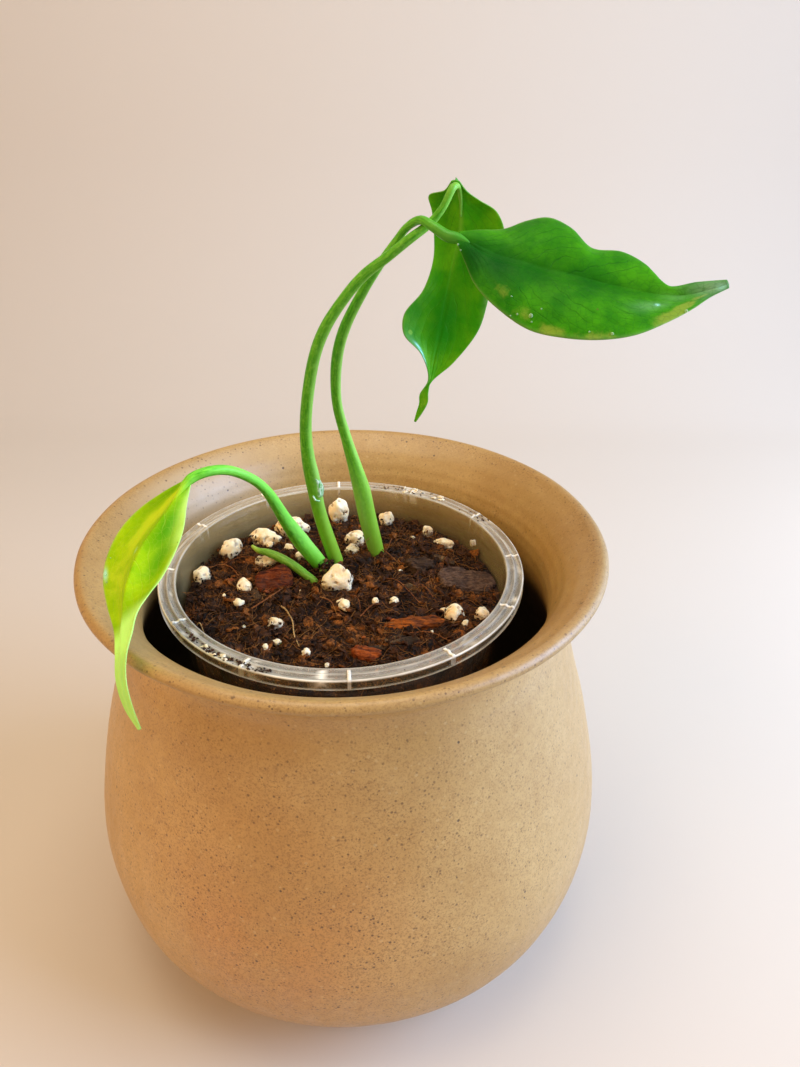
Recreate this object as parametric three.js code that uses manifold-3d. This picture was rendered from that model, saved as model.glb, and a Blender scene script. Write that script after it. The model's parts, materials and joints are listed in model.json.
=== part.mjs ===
// A young swiss cheese plant with three leaves, in a clear nursery pot that stands in a stoneware pot.
// Millimetres, +Z up. The origin is the middle of the stoneware pot's foot, and -Y is the front.

import * as THREE from 'three';
import { ImprovedNoise } from 'three/addons/math/ImprovedNoise.js';
import { mergeVertices } from 'three/addons/utils/BufferGeometryUtils.js';
import Module from 'manifold-3d';

const wasm = await Module();
wasm.setup();

// Driving dimensions of the stoneware pot
const POT_HEIGHT = 140;
const POT_RIM_RADIUS = 75;
const POT_FOOT_RADIUS = 50.5;
const POT_FLOOR = 6.5;
const POT_SIDES = 54;
const LIP_ROUND = 1.8;
// Silhouette outside, foot to lip, and inside, lip to floor, as [radius, height].
const POT_OUTSIDE = [
  [53.5, 0.8], [63.8, 6.5], [73, 15.8], [79.2, 26.8], [81.7, 41.5], [81, 56], [78.3, 70], [74.8, 84],
  [70.6, 98], [66.6, 112], [63.4, 122], [65, 129], [69.6, 134], [73.8, 136.6],
];
const POT_INSIDE = [
  [71.5, 139.6], [66.5, 136.6], [62.9, 132.8], [61, 127.8], [60, 121], [61.3, 112], [65.6, 99], [70.2, 84],
  [74, 68], [76.6, 52], [76.2, 36], [71.5, 23], [62, 11], [52, 6.5],
];

// Driving dimensions of the clear nursery pot and its mix
const NEST_CENTRE = [-1, -2];
const NURSERY_TOP = 130;
const NURSERY_FLANGE_RADIUS = 53;
const NURSERY_MOUTH_RADIUS = 47.9;
const NURSERY_BASE_RADIUS = 37;
const NURSERY_WALL = 1;
const NURSERY_SKIRT = 3;
const NURSERY_SIDES = 46;
const FLANGE_EDGE = 0.5;
const FLANGE_RIBS = 12;
const RIB_WIDTH = 0.9;
const RIB_HEIGHT = 0.5;
const FIRST_RIB = 5.5;
const DRAIN_HOLES = 6;
const DRAIN_RADIUS = 3;
const DRAIN_CIRCLE = 26;
const SOIL_TOP = 120;
const SOIL_CELLS = 26;
// Swells, clods and crumbs of the mix's top
const SOIL_RELIEF = [
  { size: 16, rise: 1.1, seed: 2.5 },
  { size: 6.5, rise: 1.5, seed: 7.3 },
  { size: 3.1, rise: 1.1, seed: 11.1 },
];

// Sizes that the plant's pieces share
const GAP = 0.3;
const WALL_ROOM = 0.2;
const POCKET_ROOM = 0.1;
const STALK_SIDES = 10;
const BLADE_THICKNESS = 0.8;
const BLADE_COLUMNS = [-1, -0.72, -0.42, -0.14, 0, 0.14, 0.42, 0.72, 1];

const LARGE_LUMP = 9;
const LUMPINESS = 0.42;

const COLOURS = {
  stoneware: '#b8925f',
  clear: '#cfcac0',
  soil: '#3c2314',
  perlite: '#ebd7b4',
  bark: '#6b3a1e',
  stalk: '#5ab43c',
  youngBlade: '#9cc81e',
  blade: '#32821a',
  crown: '#6f7a34',
};

const relief = new ImprovedNoise();

// Joins and cuts

function solid(geometry) {
  const bare = geometry.clone();
  bare.deleteAttribute('normal');
  bare.deleteAttribute('uv');
  const merged = mergeVertices(bare, 1e-4);
  const shape = new wasm.Mesh({
    numProp: 3,
    vertProperties: Float32Array.from(merged.attributes.position.array),
    triVerts: Uint32Array.from(merged.index.array),
  });
  return new wasm.Manifold(shape);
}

function surface(manifold) {
  const shape = manifold.getMesh();
  const geometry = new THREE.BufferGeometry();
  geometry.setAttribute('position', new THREE.BufferAttribute(shape.vertProperties, 3));
  geometry.setIndex(new THREE.BufferAttribute(shape.triVerts, 1));
  geometry.computeVertexNormals();
  return geometry;
}

function cut(geometry, tools) {
  return surface(tools.reduce((body, tool) => body.subtract(solid(tool)), solid(geometry)));
}

function join(geometry, others) {
  return surface(others.reduce((body, other) => body.add(solid(other)), solid(geometry)));
}

function piece(name, geometry, colour, roughness, extra = {}) {
  const material = new THREE.MeshStandardMaterial({ color: colour, roughness, metalness: 0, ...extra });
  const mesh = new THREE.Mesh(geometry, material);
  mesh.name = name;
  return mesh;
}

function bell(distance) {
  return Math.exp(-distance * distance);
}

// A value that is given at even steps along a piece, read at any place from 0 to 1.
function along(values, place) {
  const spot = THREE.MathUtils.clamp(place, 0, 1) * (values.length - 1);
  const before = Math.min(Math.floor(spot), values.length - 2);
  return THREE.MathUtils.lerp(values[before], values[before + 1], spot - before);
}

// The two pots

function smoothProfile(points, steps) {
  const curve = new THREE.SplineCurve(points.map(([radius, height]) => new THREE.Vector2(radius, height)));
  return curve.getPoints(steps);
}

function turned(profile, sides) {
  const geometry = new THREE.LatheGeometry(profile, sides);
  geometry.rotateX(Math.PI / 2);
  return geometry;
}

function stonewarePot() {
  const profile = [
    new THREE.Vector2(0, 0),
    new THREE.Vector2(POT_FOOT_RADIUS, 0),
    ...smoothProfile(POT_OUTSIDE, 13),
    new THREE.Vector2(POT_RIM_RADIUS, POT_HEIGHT - LIP_ROUND),
    new THREE.Vector2(POT_RIM_RADIUS - LIP_ROUND / 4, POT_HEIGHT - LIP_ROUND / 3),
    new THREE.Vector2(POT_RIM_RADIUS - LIP_ROUND, POT_HEIGHT),
    ...smoothProfile(POT_INSIDE, 10),
    new THREE.Vector2(0, POT_FLOOR),
  ];
  return surface(solid(turned(profile, POT_SIDES)));
}

function nurseryInside(height) {
  const low = POT_FLOOR + GAP + NURSERY_WALL;
  const share = (height - low) / (NURSERY_TOP - low);
  return THREE.MathUtils.lerp(NURSERY_BASE_RADIUS, NURSERY_MOUTH_RADIUS, share);
}

function nurseryPot() {
  const foot = POT_FLOOR + GAP;
  const floor = foot + NURSERY_WALL;
  const under = NURSERY_TOP - NURSERY_WALL;
  const skirtInside = NURSERY_FLANGE_RADIUS - NURSERY_WALL;
  const profile = [
    [0, foot],
    [NURSERY_BASE_RADIUS, foot],
    [NURSERY_BASE_RADIUS + NURSERY_WALL, foot + NURSERY_WALL],
    [nurseryInside(under) + NURSERY_WALL, under],
    [skirtInside, under],
    [skirtInside, NURSERY_TOP - NURSERY_SKIRT],
    [NURSERY_FLANGE_RADIUS, NURSERY_TOP - NURSERY_SKIRT],
    [NURSERY_FLANGE_RADIUS, NURSERY_TOP - FLANGE_EDGE],
    [NURSERY_FLANGE_RADIUS - FLANGE_EDGE, NURSERY_TOP],
    [NURSERY_MOUTH_RADIUS + FLANGE_EDGE, NURSERY_TOP],
    [NURSERY_MOUTH_RADIUS, NURSERY_TOP - FLANGE_EDGE],
    [NURSERY_BASE_RADIUS, floor],
    [0, floor],
  ].map(([radius, height]) => new THREE.Vector2(radius, height));
  const ribLength = NURSERY_FLANGE_RADIUS - NURSERY_MOUTH_RADIUS - 2 * FLANGE_EDGE;
  const ribMiddle = (NURSERY_FLANGE_RADIUS + NURSERY_MOUTH_RADIUS) / 2;
  const ribs = [];
  for (let i = 0; i < FLANGE_RIBS; i += 1) {
    const rib = new THREE.BoxGeometry(ribLength, RIB_WIDTH, 2 * RIB_HEIGHT);
    rib.translate(ribMiddle, 0, NURSERY_TOP);
    rib.rotateZ(THREE.MathUtils.degToRad(FIRST_RIB + (360 * i) / FLANGE_RIBS));
    ribs.push(rib);
  }
  const holes = [];
  for (let i = 0; i < DRAIN_HOLES; i += 1) {
    const hole = new THREE.CylinderGeometry(DRAIN_RADIUS, DRAIN_RADIUS, 4 * NURSERY_WALL, 10);
    hole.rotateX(Math.PI / 2);
    hole.translate(DRAIN_CIRCLE, 0, foot);
    hole.rotateZ((i / DRAIN_HOLES) * 2 * Math.PI);
    holes.push(hole);
  }
  return cut(join(turned(profile, NURSERY_SIDES), ribs), holes);
}

// Stalks are tubes along a smooth route of points and radii. A sheath is a wing on one side.

function smoothLine(points) {
  return new THREE.CatmullRomCurve3(points.map((point) => new THREE.Vector3(...point)), false, 'centripetal');
}

function stalk({ route, steps = 26, sheath = null }, grow = 0) {
  const curve = smoothLine(route.map((point) => point.slice(0, 3)));
  const radii = route.map((point) => point[3]);
  const frames = curve.computeFrenetFrames(steps, false);
  const geometry = new THREE.CylinderGeometry(1, 1, 1, STALK_SIDES, steps);
  const position = geometry.attributes.position;
  const facing = sheath ? new THREE.Vector3(...sheath.facing).normalize() : null;
  for (let i = 0; i < position.count; i += 1) {
    const place = position.getY(i) + 0.5;
    const step = Math.round(place * steps);
    const offset = new THREE.Vector3()
      .addScaledVector(frames.normals[step], position.getX(i))
      .addScaledVector(frames.binormals[step], -position.getZ(i));
    let radius = along(radii, curve.getUtoTmapping(place)) + grow;
    if (sheath && offset.length() > 0.5) {
      const middle = (sheath.from + sheath.to) / 2;
      const spread = (sheath.to - sheath.from) / 2;
      const lean = Math.max(0, offset.dot(facing));
      radius += sheath.height * bell((place - middle) / spread) * lean ** 3;
    }
    const reach = grow * (place < 0.5 ? -1 : 1) * (place === 0 || place === 1 ? 1 : 0);
    const point = curve.getPointAt(place).addScaledVector(offset, radius);
    point.addScaledVector(frames.tangents[step], reach);
    position.setXYZ(i, point.x, point.y, point.z);
  }
  return geometry;
}

// Blades are one thin sheet each. A row is a station along the leaf: left edge, midrib, right edge.
// The sheet bellies up between midrib and edge, and the midrib stands out underneath.

function blade({ stations, belly, rows = 30, ribHeight = 1.1, baseSwell = 1.4, tailSwell = 0 }) {
  const [left, rib, right] = [0, 1, 2].map((side) => smoothLine(stations.map((row) => row[side])));
  const columns = BLADE_COLUMNS.length;
  const middle = [];
  for (let i = 0; i <= rows; i += 1) {
    const place = i / rows;
    const onRib = rib.getPoint(place);
    const heading = rib.getTangent(place);
    const across = right.getPoint(place).sub(left.getPoint(place));
    const lift = across.clone().cross(heading).normalize();
    BLADE_COLUMNS.forEach((column) => {
      const edge = (column < 0 ? left : right).getPoint(place);
      const width = edge.distanceTo(onRib);
      const share = Math.abs(column);
      const rise = belly * width * Math.sin(Math.PI * share);
      middle.push(onRib.clone().lerp(edge, share).addScaledVector(lift, rise));
    });
  }
  const at = (i, j) => middle[i * columns + j];
  const positions = [[], []];
  for (let i = 0; i <= rows; i += 1) {
    const place = i / rows;
    const swell = baseSwell * bell(place / 0.05) + tailSwell * THREE.MathUtils.smoothstep(place, 0.55, 0.8);
    for (let j = 0; j < columns; j += 1) {
      const down = at(Math.min(i + 1, rows), j).clone().sub(at(Math.max(i - 1, 0), j));
      const over = at(i, Math.min(j + 1, columns - 1)).clone().sub(at(i, Math.max(j - 1, 0)));
      const normal = over.cross(down).normalize();
      const half = (BLADE_THICKNESS + swell) / 2;
      const rises = ribHeight * (1 - place) * bell(BLADE_COLUMNS[j] / 0.12);
      positions[0].push(at(i, j).clone().addScaledVector(normal, half));
      positions[1].push(at(i, j).clone().addScaledVector(normal, -half - rises));
    }
  }
  const index = [];
  const count = (rows + 1) * columns;
  const quad = (a, b, c, d) => index.push(a, c, b, a, d, c);
  for (let i = 0; i < rows; i += 1) {
    for (let j = 0; j < columns - 1; j += 1) {
      const [a, b] = [i * columns + j, i * columns + j + 1];
      const [c, d] = [b + columns, a + columns];
      index.push(a, b, c, a, c, d);
      index.push(count + a, count + c, count + b, count + a, count + d, count + c);
    }
  }
  for (let i = 0; i < rows; i += 1) {
    const [a, b] = [i * columns, (i + 1) * columns];
    quad(a, count + a, count + b, b);
    const [c, d] = [a + columns - 1, b + columns - 1];
    quad(c, d, count + d, count + c);
  }
  for (let j = 0; j < columns - 1; j += 1) {
    quad(j, j + 1, count + j + 1, count + j);
    const last = rows * columns + j;
    quad(last, count + last, count + last + 1, last + 1);
  }
  const geometry = new THREE.BufferGeometry();
  const flat = positions.flat().flatMap((point) => [point.x, point.y, point.z]);
  geometry.setAttribute('position', new THREE.BufferAttribute(new Float32Array(flat), 3));
  geometry.setIndex(index);
  geometry.computeVertexNormals();
  return geometry;
}

// The plant. Routes and stations are read along each piece from its root end.

const STALKS = {
  petiole_left: {
    route: [
      [-7.3, 13.4, 110, 2.2], [-8.7, 11.4, 119, 2.35], [-14.3, 7, 131.4, 2.4], [-17.4, 1.5, 141.7, 1.95],
      [-21.3, -8, 157.4, 1.35], [-24.8, -13, 163.5, 1.3], [-29.1, -17, 167.1, 1.3], [-33.3, -20, 167.9, 1.3],
      [-37, -21.8, 166.7, 1.3],
    ],
    sheath: { from: 0.12, to: 0.4, facing: [1, 0.2, 0.3], height: 0.4 },
  },
  petiole_middle: {
    route: [
      [-1.2, 13.8, 108, 2.1], [-3.9, 13.7, 118.5, 2.3], [-8.2, 13, 135.2, 2.1], [-10.3, 12.5, 146.4, 1.9],
      [-11.6, 12.3, 157, 1.8], [-11.4, 11.9, 170, 1.75], [-8.3, 11.3, 187.2, 1.65], [-5, 11, 195.6, 1.6],
      [0, 10.4, 203.3, 1.45], [5.8, 9.7, 210.1, 1.4], [12, 8.7, 215, 1.3], [17.5, 8.4, 219.4, 1.2],
      [22.4, 8.8, 223.1, 1.05], [25.4, 8.3, 226.8, 0.9], [27.9, 9.3, 231.4, 0.95],
    ],
    steps: 34,
    sheath: { from: 0.24, to: 0.34, facing: [1, -0.3, 0], height: 0.9 },
  },
  petiole_right: {
    route: [
      [10, 19.4, 108, 2.2], [8.4, 19, 120.7, 2.3], [6.2, 18.5, 132.1, 2.35], [4.2, 18, 143.7, 2.3],
      [2.3, 17.5, 151.4, 1.9], [-0.2, 16.8, 161, 1.5], [-2.8, 16.2, 173, 1.45], [-2.4, 15.4, 185.5, 1.6],
      [-0.1, 15, 194.3, 1.55], [5.5, 14.2, 205.3, 1.35], [10.6, 13.4, 213.2, 1.2], [14.4, 12.6, 218.5, 1.05],
      [16.6, 11.2, 221.5, 1], [19.9, 8, 223.9, 1.1], [23, 4.2, 223, 1.2], [26.6, 1.9, 221.2, 1.4],
      [28.3, 1.2, 221, 1.4],
    ],
    steps: 38,
    sheath: { from: 0.08, to: 0.36, facing: [-1, -0.3, 0], height: 1 },
  },
  young_shoot: {
    route: [
      [-6.6, 0.8, 111.5, 1.2], [-9.7, 2.2, 119.3, 1.25], [-13.3, 4.4, 121.4, 1.3], [-17.4, 7.1, 123, 1.4],
      [-21.5, 9.3, 124.2, 1.4], [-25.6, 11.3, 124.8, 1.2], [-29, 12.7, 124.9, 0.8],
      [-30.7, 13.5, 125.9, 0.45],
    ],
    steps: 14,
  },
  crown: {
    route: [[-7.6, 7.2, 110.5, 1.5], [-7.9, 6.9, 117, 1.5], [-7.8, 6.6, 121.6, 1.2]],
    steps: 5,
  },
};

const BLADES = {
  blade_left: {
    belly: 0.16,
    tailSwell: 0.7,
    stations: [
      [[-38.4, -21.6, 166.5], [-37.6, -22.4, 166.1], [-36.7, -23, 165.7]],
      [[-43.9, -23, 163.7], [-39.5, -26, 164.2], [-37.1, -27, 162.5]],
      [[-50, -25, 159.8], [-42.9, -31, 160.2], [-37.1, -33, 158.5]],
      [[-54.2, -29, 156], [-46.3, -36, 156.3], [-38, -39, 155.7]],
      [[-56.6, -34, 151.4], [-47.8, -42, 153.2], [-39.9, -45, 152.7]],
      [[-56.6, -39, 147.7], [-48.2, -48, 150.2], [-41.4, -51, 152]],
      [[-53.9, -46, 144.9], [-47.3, -54, 147.8], [-42.7, -57, 151]],
      [[-50, -54, 143.6], [-46.4, -59, 146], [-43, -61, 148.6]],
      [[-47.6, -61.2, 143], [-45.6, -62.7, 144], [-43.9, -63.7, 145]],
      [[-47.4, -64.2, 137.6], [-46, -64.7, 138.1], [-44.6, -65.2, 138.5]],
      [[-46.2, -65.7, 131], [-45, -66.2, 131.8], [-43.8, -66.7, 132.6]],
      [[-43.8, -66.5, 125.2], [-43.3, -66.8, 125.4], [-42.8, -67.1, 125.8]],
    ],
  },
  blade_middle: {
    belly: 0.1,
    rows: 36,
    ribHeight: 0.7,
    baseSwell: 0.8,
    stations: [
      [[27.3, 10.8, 232.3], [28.4, 10.8, 232.6], [29.5, 10.8, 232.2]],
      [[25.8, 14.5, 229.8], [29.7, 13, 230.4], [31.5, 12.5, 229.9]],
      [[22.1, 18, 228.1], [30.2, 14, 227.2], [34.8, 13, 227.8]],
      [[23, 17.5, 224.6], [30.4, 14.5, 223.7], [39.1, 13, 225.3]],
      [[23.7, 16, 219], [30.1, 14.5, 218.6], [41.3, 12, 221]],
      [[23.6, 14, 213.2], [29, 14, 214], [41.2, 12, 215]],
      [[21.1, 10, 206.4], [27.9, 13, 207.1], [38.8, 12, 207.7]],
      [[16.2, 6, 201], [26.8, 11.5, 200.4], [38.1, 12, 202.2]],
      [[16.2, 5, 196.3], [25.6, 10, 193.8], [36.1, 11, 195.5]],
      [[20.9, 6, 190.6], [24.4, 8.5, 188.2], [29.6, 9, 187.2]],
      [[23, 6.6, 183.5], [23.4, 6.9, 182.9], [23.8, 7.1, 182.4]],
      [[20.7, 6.4, 179.2], [21.9, 6, 179.8], [23, 5.2, 180.3]],
      [[20.6, 5.6, 177], [21.8, 5.2, 177.4], [22.9, 4.4, 177.8]],
      [[19.9, 5, 174.6], [20.7, 4.7, 174.7], [21.6, 4.2, 175]],
      [[19.3, 4.4, 172.3], [19.5, 4.2, 172.1], [19.7, 4, 172.2]],
    ],
  },
  blade_right: {
    belly: 0.1,
    stations: [
      [[29.2, 2.2, 222.2], [29, 1, 221.1], [28.6, -0.3, 220.2]],
      [[33.6, 3, 222.5], [33.5, -0.5, 219.7], [30.6, -3, 216.2]],
      [[40.4, 5, 222.5], [39, -2.5, 217.6], [33, -9, 212]],
      [[46.1, 7, 224.1], [45.1, -4, 216.4], [38, -14, 208]],
      [[51.5, 7.5, 224.8], [50.8, -5, 215], [45.1, -18, 204.3]],
      [[56.7, 5, 222.9], [57.2, -6, 213.7], [53, -21, 203.4]],
      [[61.5, 1, 219], [63.4, -7, 212.4], [61.2, -22, 203.4]],
      [[68.9, 1, 218.2], [69.7, -8, 211.3], [69, -21, 204.3]],
      [[74.1, -2, 216], [75.8, -9, 210.4], [76.8, -18, 206.5]],
      [[78.7, -7, 212.1], [81.4, -10, 210.5], [83, -15, 208.8]],
      [[84.9, -9, 213.5], [86.7, -11, 211.9], [87.4, -13, 211.1]],
      [[90.9, -11.2, 214.6], [91.3, -12, 213.8], [91.2, -12.8, 213.1]],
    ],
  },
};

// Lumps lie in pockets of the mix: the middle, the width, depth and height, how far it is sunk, its turn.

const PERLITE = [
  { at: [-2.7, 0.2], size: [9.4, 8, 10.5], sunk: 3.6, turn: 10, seed: 3 },
  { at: [-38.8, 18.4], size: [8.8, 6.4, 7.2], sunk: 2.2, turn: 62, seed: 5 },
  { at: [-44.4, 3.1], size: [5.4, 6, 6.8], sunk: 2.4, turn: 0, seed: 9 },
  { at: [-29, 26.2], size: [11, 6.4, 5.6], sunk: 1.6, turn: -8, seed: 12 },
  { at: [-20.7, 31.8], size: [10.6, 6.5, 7.8], sunk: 2.2, turn: 12, seed: 17 },
  { at: [-31, -1.6], size: [4.6, 6.5, 5.4], sunk: 2.4, turn: 15, seed: 21 },
  { at: [-26.4, 12.2], size: [7.6, 4.2, 4.4], sunk: 2, turn: -15, seed: 24 },
  { at: [-16, 15.6], size: [4, 3.4, 4.4], sunk: 1.8, turn: 0, seed: 28 },
  { at: [-5.2, 39.8], size: [7.4, 6.4, 9.6], sunk: 1.4, turn: 25, seed: 31 },
  { at: [0.9, 26.4], size: [7.2, 5.4, 6], sunk: 2, turn: 0, seed: 36 },
  { at: [0.4, 20], size: [5, 4.4, 4.6], sunk: 2, turn: 30, seed: 41 },
  { at: [11, 39.8], size: [5, 4.6, 5.6], sunk: 1.5, turn: 40, seed: 44 },
  { at: [25, 31.4], size: [4.2, 3.6, 5.2], sunk: 2, turn: 0, seed: 47 },
  { at: [30.4, 24.4], size: [7, 4, 4.4], sunk: 1.8, turn: -20, seed: 52 },
  { at: [31.6, -14.6], size: [6.2, 6.6, 6.4], sunk: 2.6, turn: 20, seed: 56 },
  { at: [39.6, -14.4], size: [5, 4.6, 5], sunk: 2.2, turn: 0, seed: 61 },
  { at: [-19.4, -19.6], size: [4.8, 4, 4.6], sunk: 2.4, turn: 10, seed: 64 },
  { at: [-0.8, -9.4], size: [3.9, 3.6, 4.2], sunk: 2.2, turn: 0, seed: 68 },
];

const BARK = [
  { at: [-22.4, 1.6], size: [11.5, 8.4, 3.2], sunk: 1, turn: 24, tilt: [16, -5], seed: 2 },
  { at: [36.2, 3], size: [16.5, 10, 2.6], sunk: 1, turn: -12, tilt: [6, 4], seed: 7 },
  { at: [20.8, -19], size: [17, 4.2, 3], sunk: 1.3, turn: 8, tilt: [8, 0], seed: 11 },
  { at: [7, -33], size: [7.4, 4.4, 3], sunk: 1.2, turn: -18, tilt: [0, 8], seed: 15 },
  { at: [22.5, 10.5], size: [8, 6, 3.4], sunk: 1.3, turn: 35, tilt: [10, 10], seed: 19 },
];

function placed(geometry, { at, size, sunk, turn, tilt = [0, 0] }, grow) {
  const [width, depth, height] = size.map((side) => side + 2 * grow);
  geometry.scale(width, depth, height);
  geometry.rotateX(THREE.MathUtils.degToRad(tilt[0]));
  geometry.rotateY(THREE.MathUtils.degToRad(tilt[1]));
  geometry.rotateZ(THREE.MathUtils.degToRad(turn));
  geometry.translate(at[0], at[1], SOIL_TOP + size[2] / 2 - sunk);
  return geometry;
}

function perlite(lump, grow = 0) {
  const detail = Math.max(...lump.size) > LARGE_LUMP ? 2 : 1;
  const geometry = new THREE.IcosahedronGeometry(0.5, detail);
  const position = geometry.attributes.position;
  for (let i = 0; i < position.count; i += 1) {
    const point = new THREE.Vector3().fromBufferAttribute(position, i);
    const bump = relief.noise(point.x * 3.4 + lump.seed, point.y * 3.4, point.z * 3.4);
    point.multiplyScalar(1 + LUMPINESS * bump);
    position.setXYZ(i, point.x, point.y, point.z);
  }
  return placed(geometry, lump, grow);
}

function barkChip(chip, grow = 0) {
  const geometry = new THREE.BoxGeometry(1, 1, 1, 4, 3, 1);
  const position = geometry.attributes.position;
  for (let i = 0; i < position.count; i += 1) {
    const point = new THREE.Vector3().fromBufferAttribute(position, i);
    const ragged = relief.noise(point.x * 3 + chip.seed, point.y * 3, 0.5);
    const uneven = relief.noise(point.x * 4, point.y * 4 + chip.seed, point.z);
    const inset = 1 - 0.22 * Math.abs(point.y * 2) ** 3;
    point.x *= inset + 0.25 * ragged;
    point.y *= 1 + 0.35 * ragged - 0.2 * Math.abs(point.x * 2) ** 3;
    point.z += 0.22 * uneven;
    position.setXYZ(i, point.x, point.y, point.z);
  }
  return placed(geometry, chip, grow);
}

// The mix: a plug with a lumpy top, holes for the stalks and pockets for the lumps

function soilHeight(x, y) {
  return SOIL_RELIEF.reduce(
    (height, { size, rise, seed }) => height + rise * relief.noise(x / size, y / size, seed),
    SOIL_TOP,
  );
}

// A square of cells is bent into a disc, so that the cells stay even from the middle to the wall.
function squareToDisc(u, v) {
  const [long, short] = Math.abs(u) > Math.abs(v) ? [u, v] : [v, u];
  if (long === 0) {
    return [0, 0];
  }
  const angle = (Math.PI / 4) * (short / long);
  const pair = [long * Math.cos(angle), long * Math.sin(angle)];
  return Math.abs(u) > Math.abs(v) ? pair : pair.reverse();
}

function soilPlug() {
  const bottom = POT_FLOOR + 2 * GAP + NURSERY_WALL;
  const side = SOIL_CELLS + 1;
  const clear = GAP + WALL_ROOM;
  const topRadius = nurseryInside(SOIL_TOP) - clear;
  const points = [];
  for (let i = 0; i < side; i += 1) {
    for (let j = 0; j < side; j += 1) {
      const [x, y] = squareToDisc((2 * j) / SOIL_CELLS - 1, (2 * i) / SOIL_CELLS - 1);
      const rim = Math.hypot(x, y);
      const [px, py] = [NEST_CENTRE[0] + topRadius * x, NEST_CENTRE[1] + topRadius * y];
      const height = THREE.MathUtils.lerp(soilHeight(px, py), SOIL_TOP - 0.4, rim ** 12);
      points.push([px, py, height]);
    }
  }
  const steps = Array.from({ length: SOIL_CELLS }, (_, i) => i);
  const border = [
    ...steps,
    ...steps.map((i) => i * side + SOIL_CELLS),
    ...steps.map((i) => SOIL_CELLS * side + SOIL_CELLS - i),
    ...steps.map((i) => (SOIL_CELLS - i) * side),
  ];
  const index = [];
  for (let i = 0; i < SOIL_CELLS; i += 1) {
    for (let j = 0; j < SOIL_CELLS; j += 1) {
      const [a, b] = [i * side + j, i * side + j + 1];
      index.push(a, b, b + side, a, b + side, a + side);
    }
  }
  const shrink = (nurseryInside(bottom) - clear) / topRadius;
  const low = points.length;
  border.forEach((corner) => {
    const [x, y] = points[corner];
    const [dx, dy] = [x - NEST_CENTRE[0], y - NEST_CENTRE[1]];
    points.push([NEST_CENTRE[0] + dx * shrink, NEST_CENTRE[1] + dy * shrink, bottom]);
  });
  const under = points.length;
  points.push([NEST_CENTRE[0], NEST_CENTRE[1], bottom]);
  border.forEach((corner, k) => {
    const next = (k + 1) % border.length;
    index.push(corner, low + k, low + next, corner, low + next, border[next]);
    index.push(low + k, under, low + next);
  });
  const geometry = new THREE.BufferGeometry();
  geometry.setAttribute('position', new THREE.BufferAttribute(new Float32Array(points.flat()), 3));
  geometry.setIndex(index);
  return geometry;
}

function soil() {
  const stalks = Object.values(STALKS).map((shape) => stalk(shape, GAP));
  const lumps = PERLITE.map((lump) => perlite(lump, GAP + POCKET_ROOM));
  const chips = BARK.map((chip) => barkChip(chip, GAP + POCKET_ROOM));
  return cut(soilPlug(), [...stalks, ...lumps, ...chips]);
}

function numbered(name, i) {
  return `${name}_${String(i + 1).padStart(2, '0')}`;
}

const potted = new THREE.Group();
potted.add(piece('outer_pot', stonewarePot(), COLOURS.stoneware, 0.55));
const nest = piece('nursery_pot', nurseryPot(), COLOURS.clear, 0.2, { transparent: true, opacity: 0.5 });
nest.position.set(NEST_CENTRE[0], NEST_CENTRE[1], 0);
potted.add(nest);
potted.add(piece('soil', soil(), COLOURS.soil, 0.95));
Object.entries(STALKS).forEach(([name, shape]) => {
  potted.add(piece(name, stalk(shape), name === 'crown' ? COLOURS.crown : COLOURS.stalk, 0.35));
});
Object.entries(BLADES).forEach(([name, shape]) => {
  potted.add(piece(name, blade(shape), name === 'blade_left' ? COLOURS.youngBlade : COLOURS.blade, 0.25));
});
PERLITE.forEach((lump, i) => {
  potted.add(piece(numbered('perlite', i), perlite(lump), COLOURS.perlite, 0.9));
});
BARK.forEach((chip, i) => {
  potted.add(piece(numbered('bark', i), barkChip(chip), COLOURS.bark, 0.8));
});

export default potted;
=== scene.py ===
import json
import math

import bmesh
import bpy
import numpy as np
from mathutils import Euler, Matrix, Vector

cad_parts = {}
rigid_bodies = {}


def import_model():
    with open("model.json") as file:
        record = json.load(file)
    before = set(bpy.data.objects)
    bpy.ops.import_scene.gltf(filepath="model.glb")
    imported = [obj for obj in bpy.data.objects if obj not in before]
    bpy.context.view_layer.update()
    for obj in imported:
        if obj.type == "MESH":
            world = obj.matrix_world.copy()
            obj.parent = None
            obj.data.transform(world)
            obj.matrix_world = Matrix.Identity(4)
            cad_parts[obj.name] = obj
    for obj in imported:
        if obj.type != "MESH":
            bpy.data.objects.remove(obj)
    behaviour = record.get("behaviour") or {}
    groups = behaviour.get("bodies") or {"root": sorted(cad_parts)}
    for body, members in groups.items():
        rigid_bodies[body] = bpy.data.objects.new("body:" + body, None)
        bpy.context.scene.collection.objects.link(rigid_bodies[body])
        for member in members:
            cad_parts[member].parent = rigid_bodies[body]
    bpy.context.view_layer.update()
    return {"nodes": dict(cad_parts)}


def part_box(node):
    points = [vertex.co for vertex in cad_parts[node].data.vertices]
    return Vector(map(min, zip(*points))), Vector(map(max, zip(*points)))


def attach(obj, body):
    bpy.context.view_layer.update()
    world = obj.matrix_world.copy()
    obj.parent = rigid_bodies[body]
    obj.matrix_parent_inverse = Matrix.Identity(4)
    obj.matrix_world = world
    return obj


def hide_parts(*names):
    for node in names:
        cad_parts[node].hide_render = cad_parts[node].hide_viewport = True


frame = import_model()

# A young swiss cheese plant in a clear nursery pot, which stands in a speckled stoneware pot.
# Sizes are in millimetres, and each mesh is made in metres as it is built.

MM = 0.001
BODY = "root"

# The camera, fitted to the photo's two round rims, in metres, degrees and the photo's own pixels
EYE = (0.01577, -0.20155, 0.25716)
PITCH = 59.59
ROLL = 0.63
SENSOR = 36
FOCAL_PIXELS = 801
FRAME_PIXELS = 1067

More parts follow.
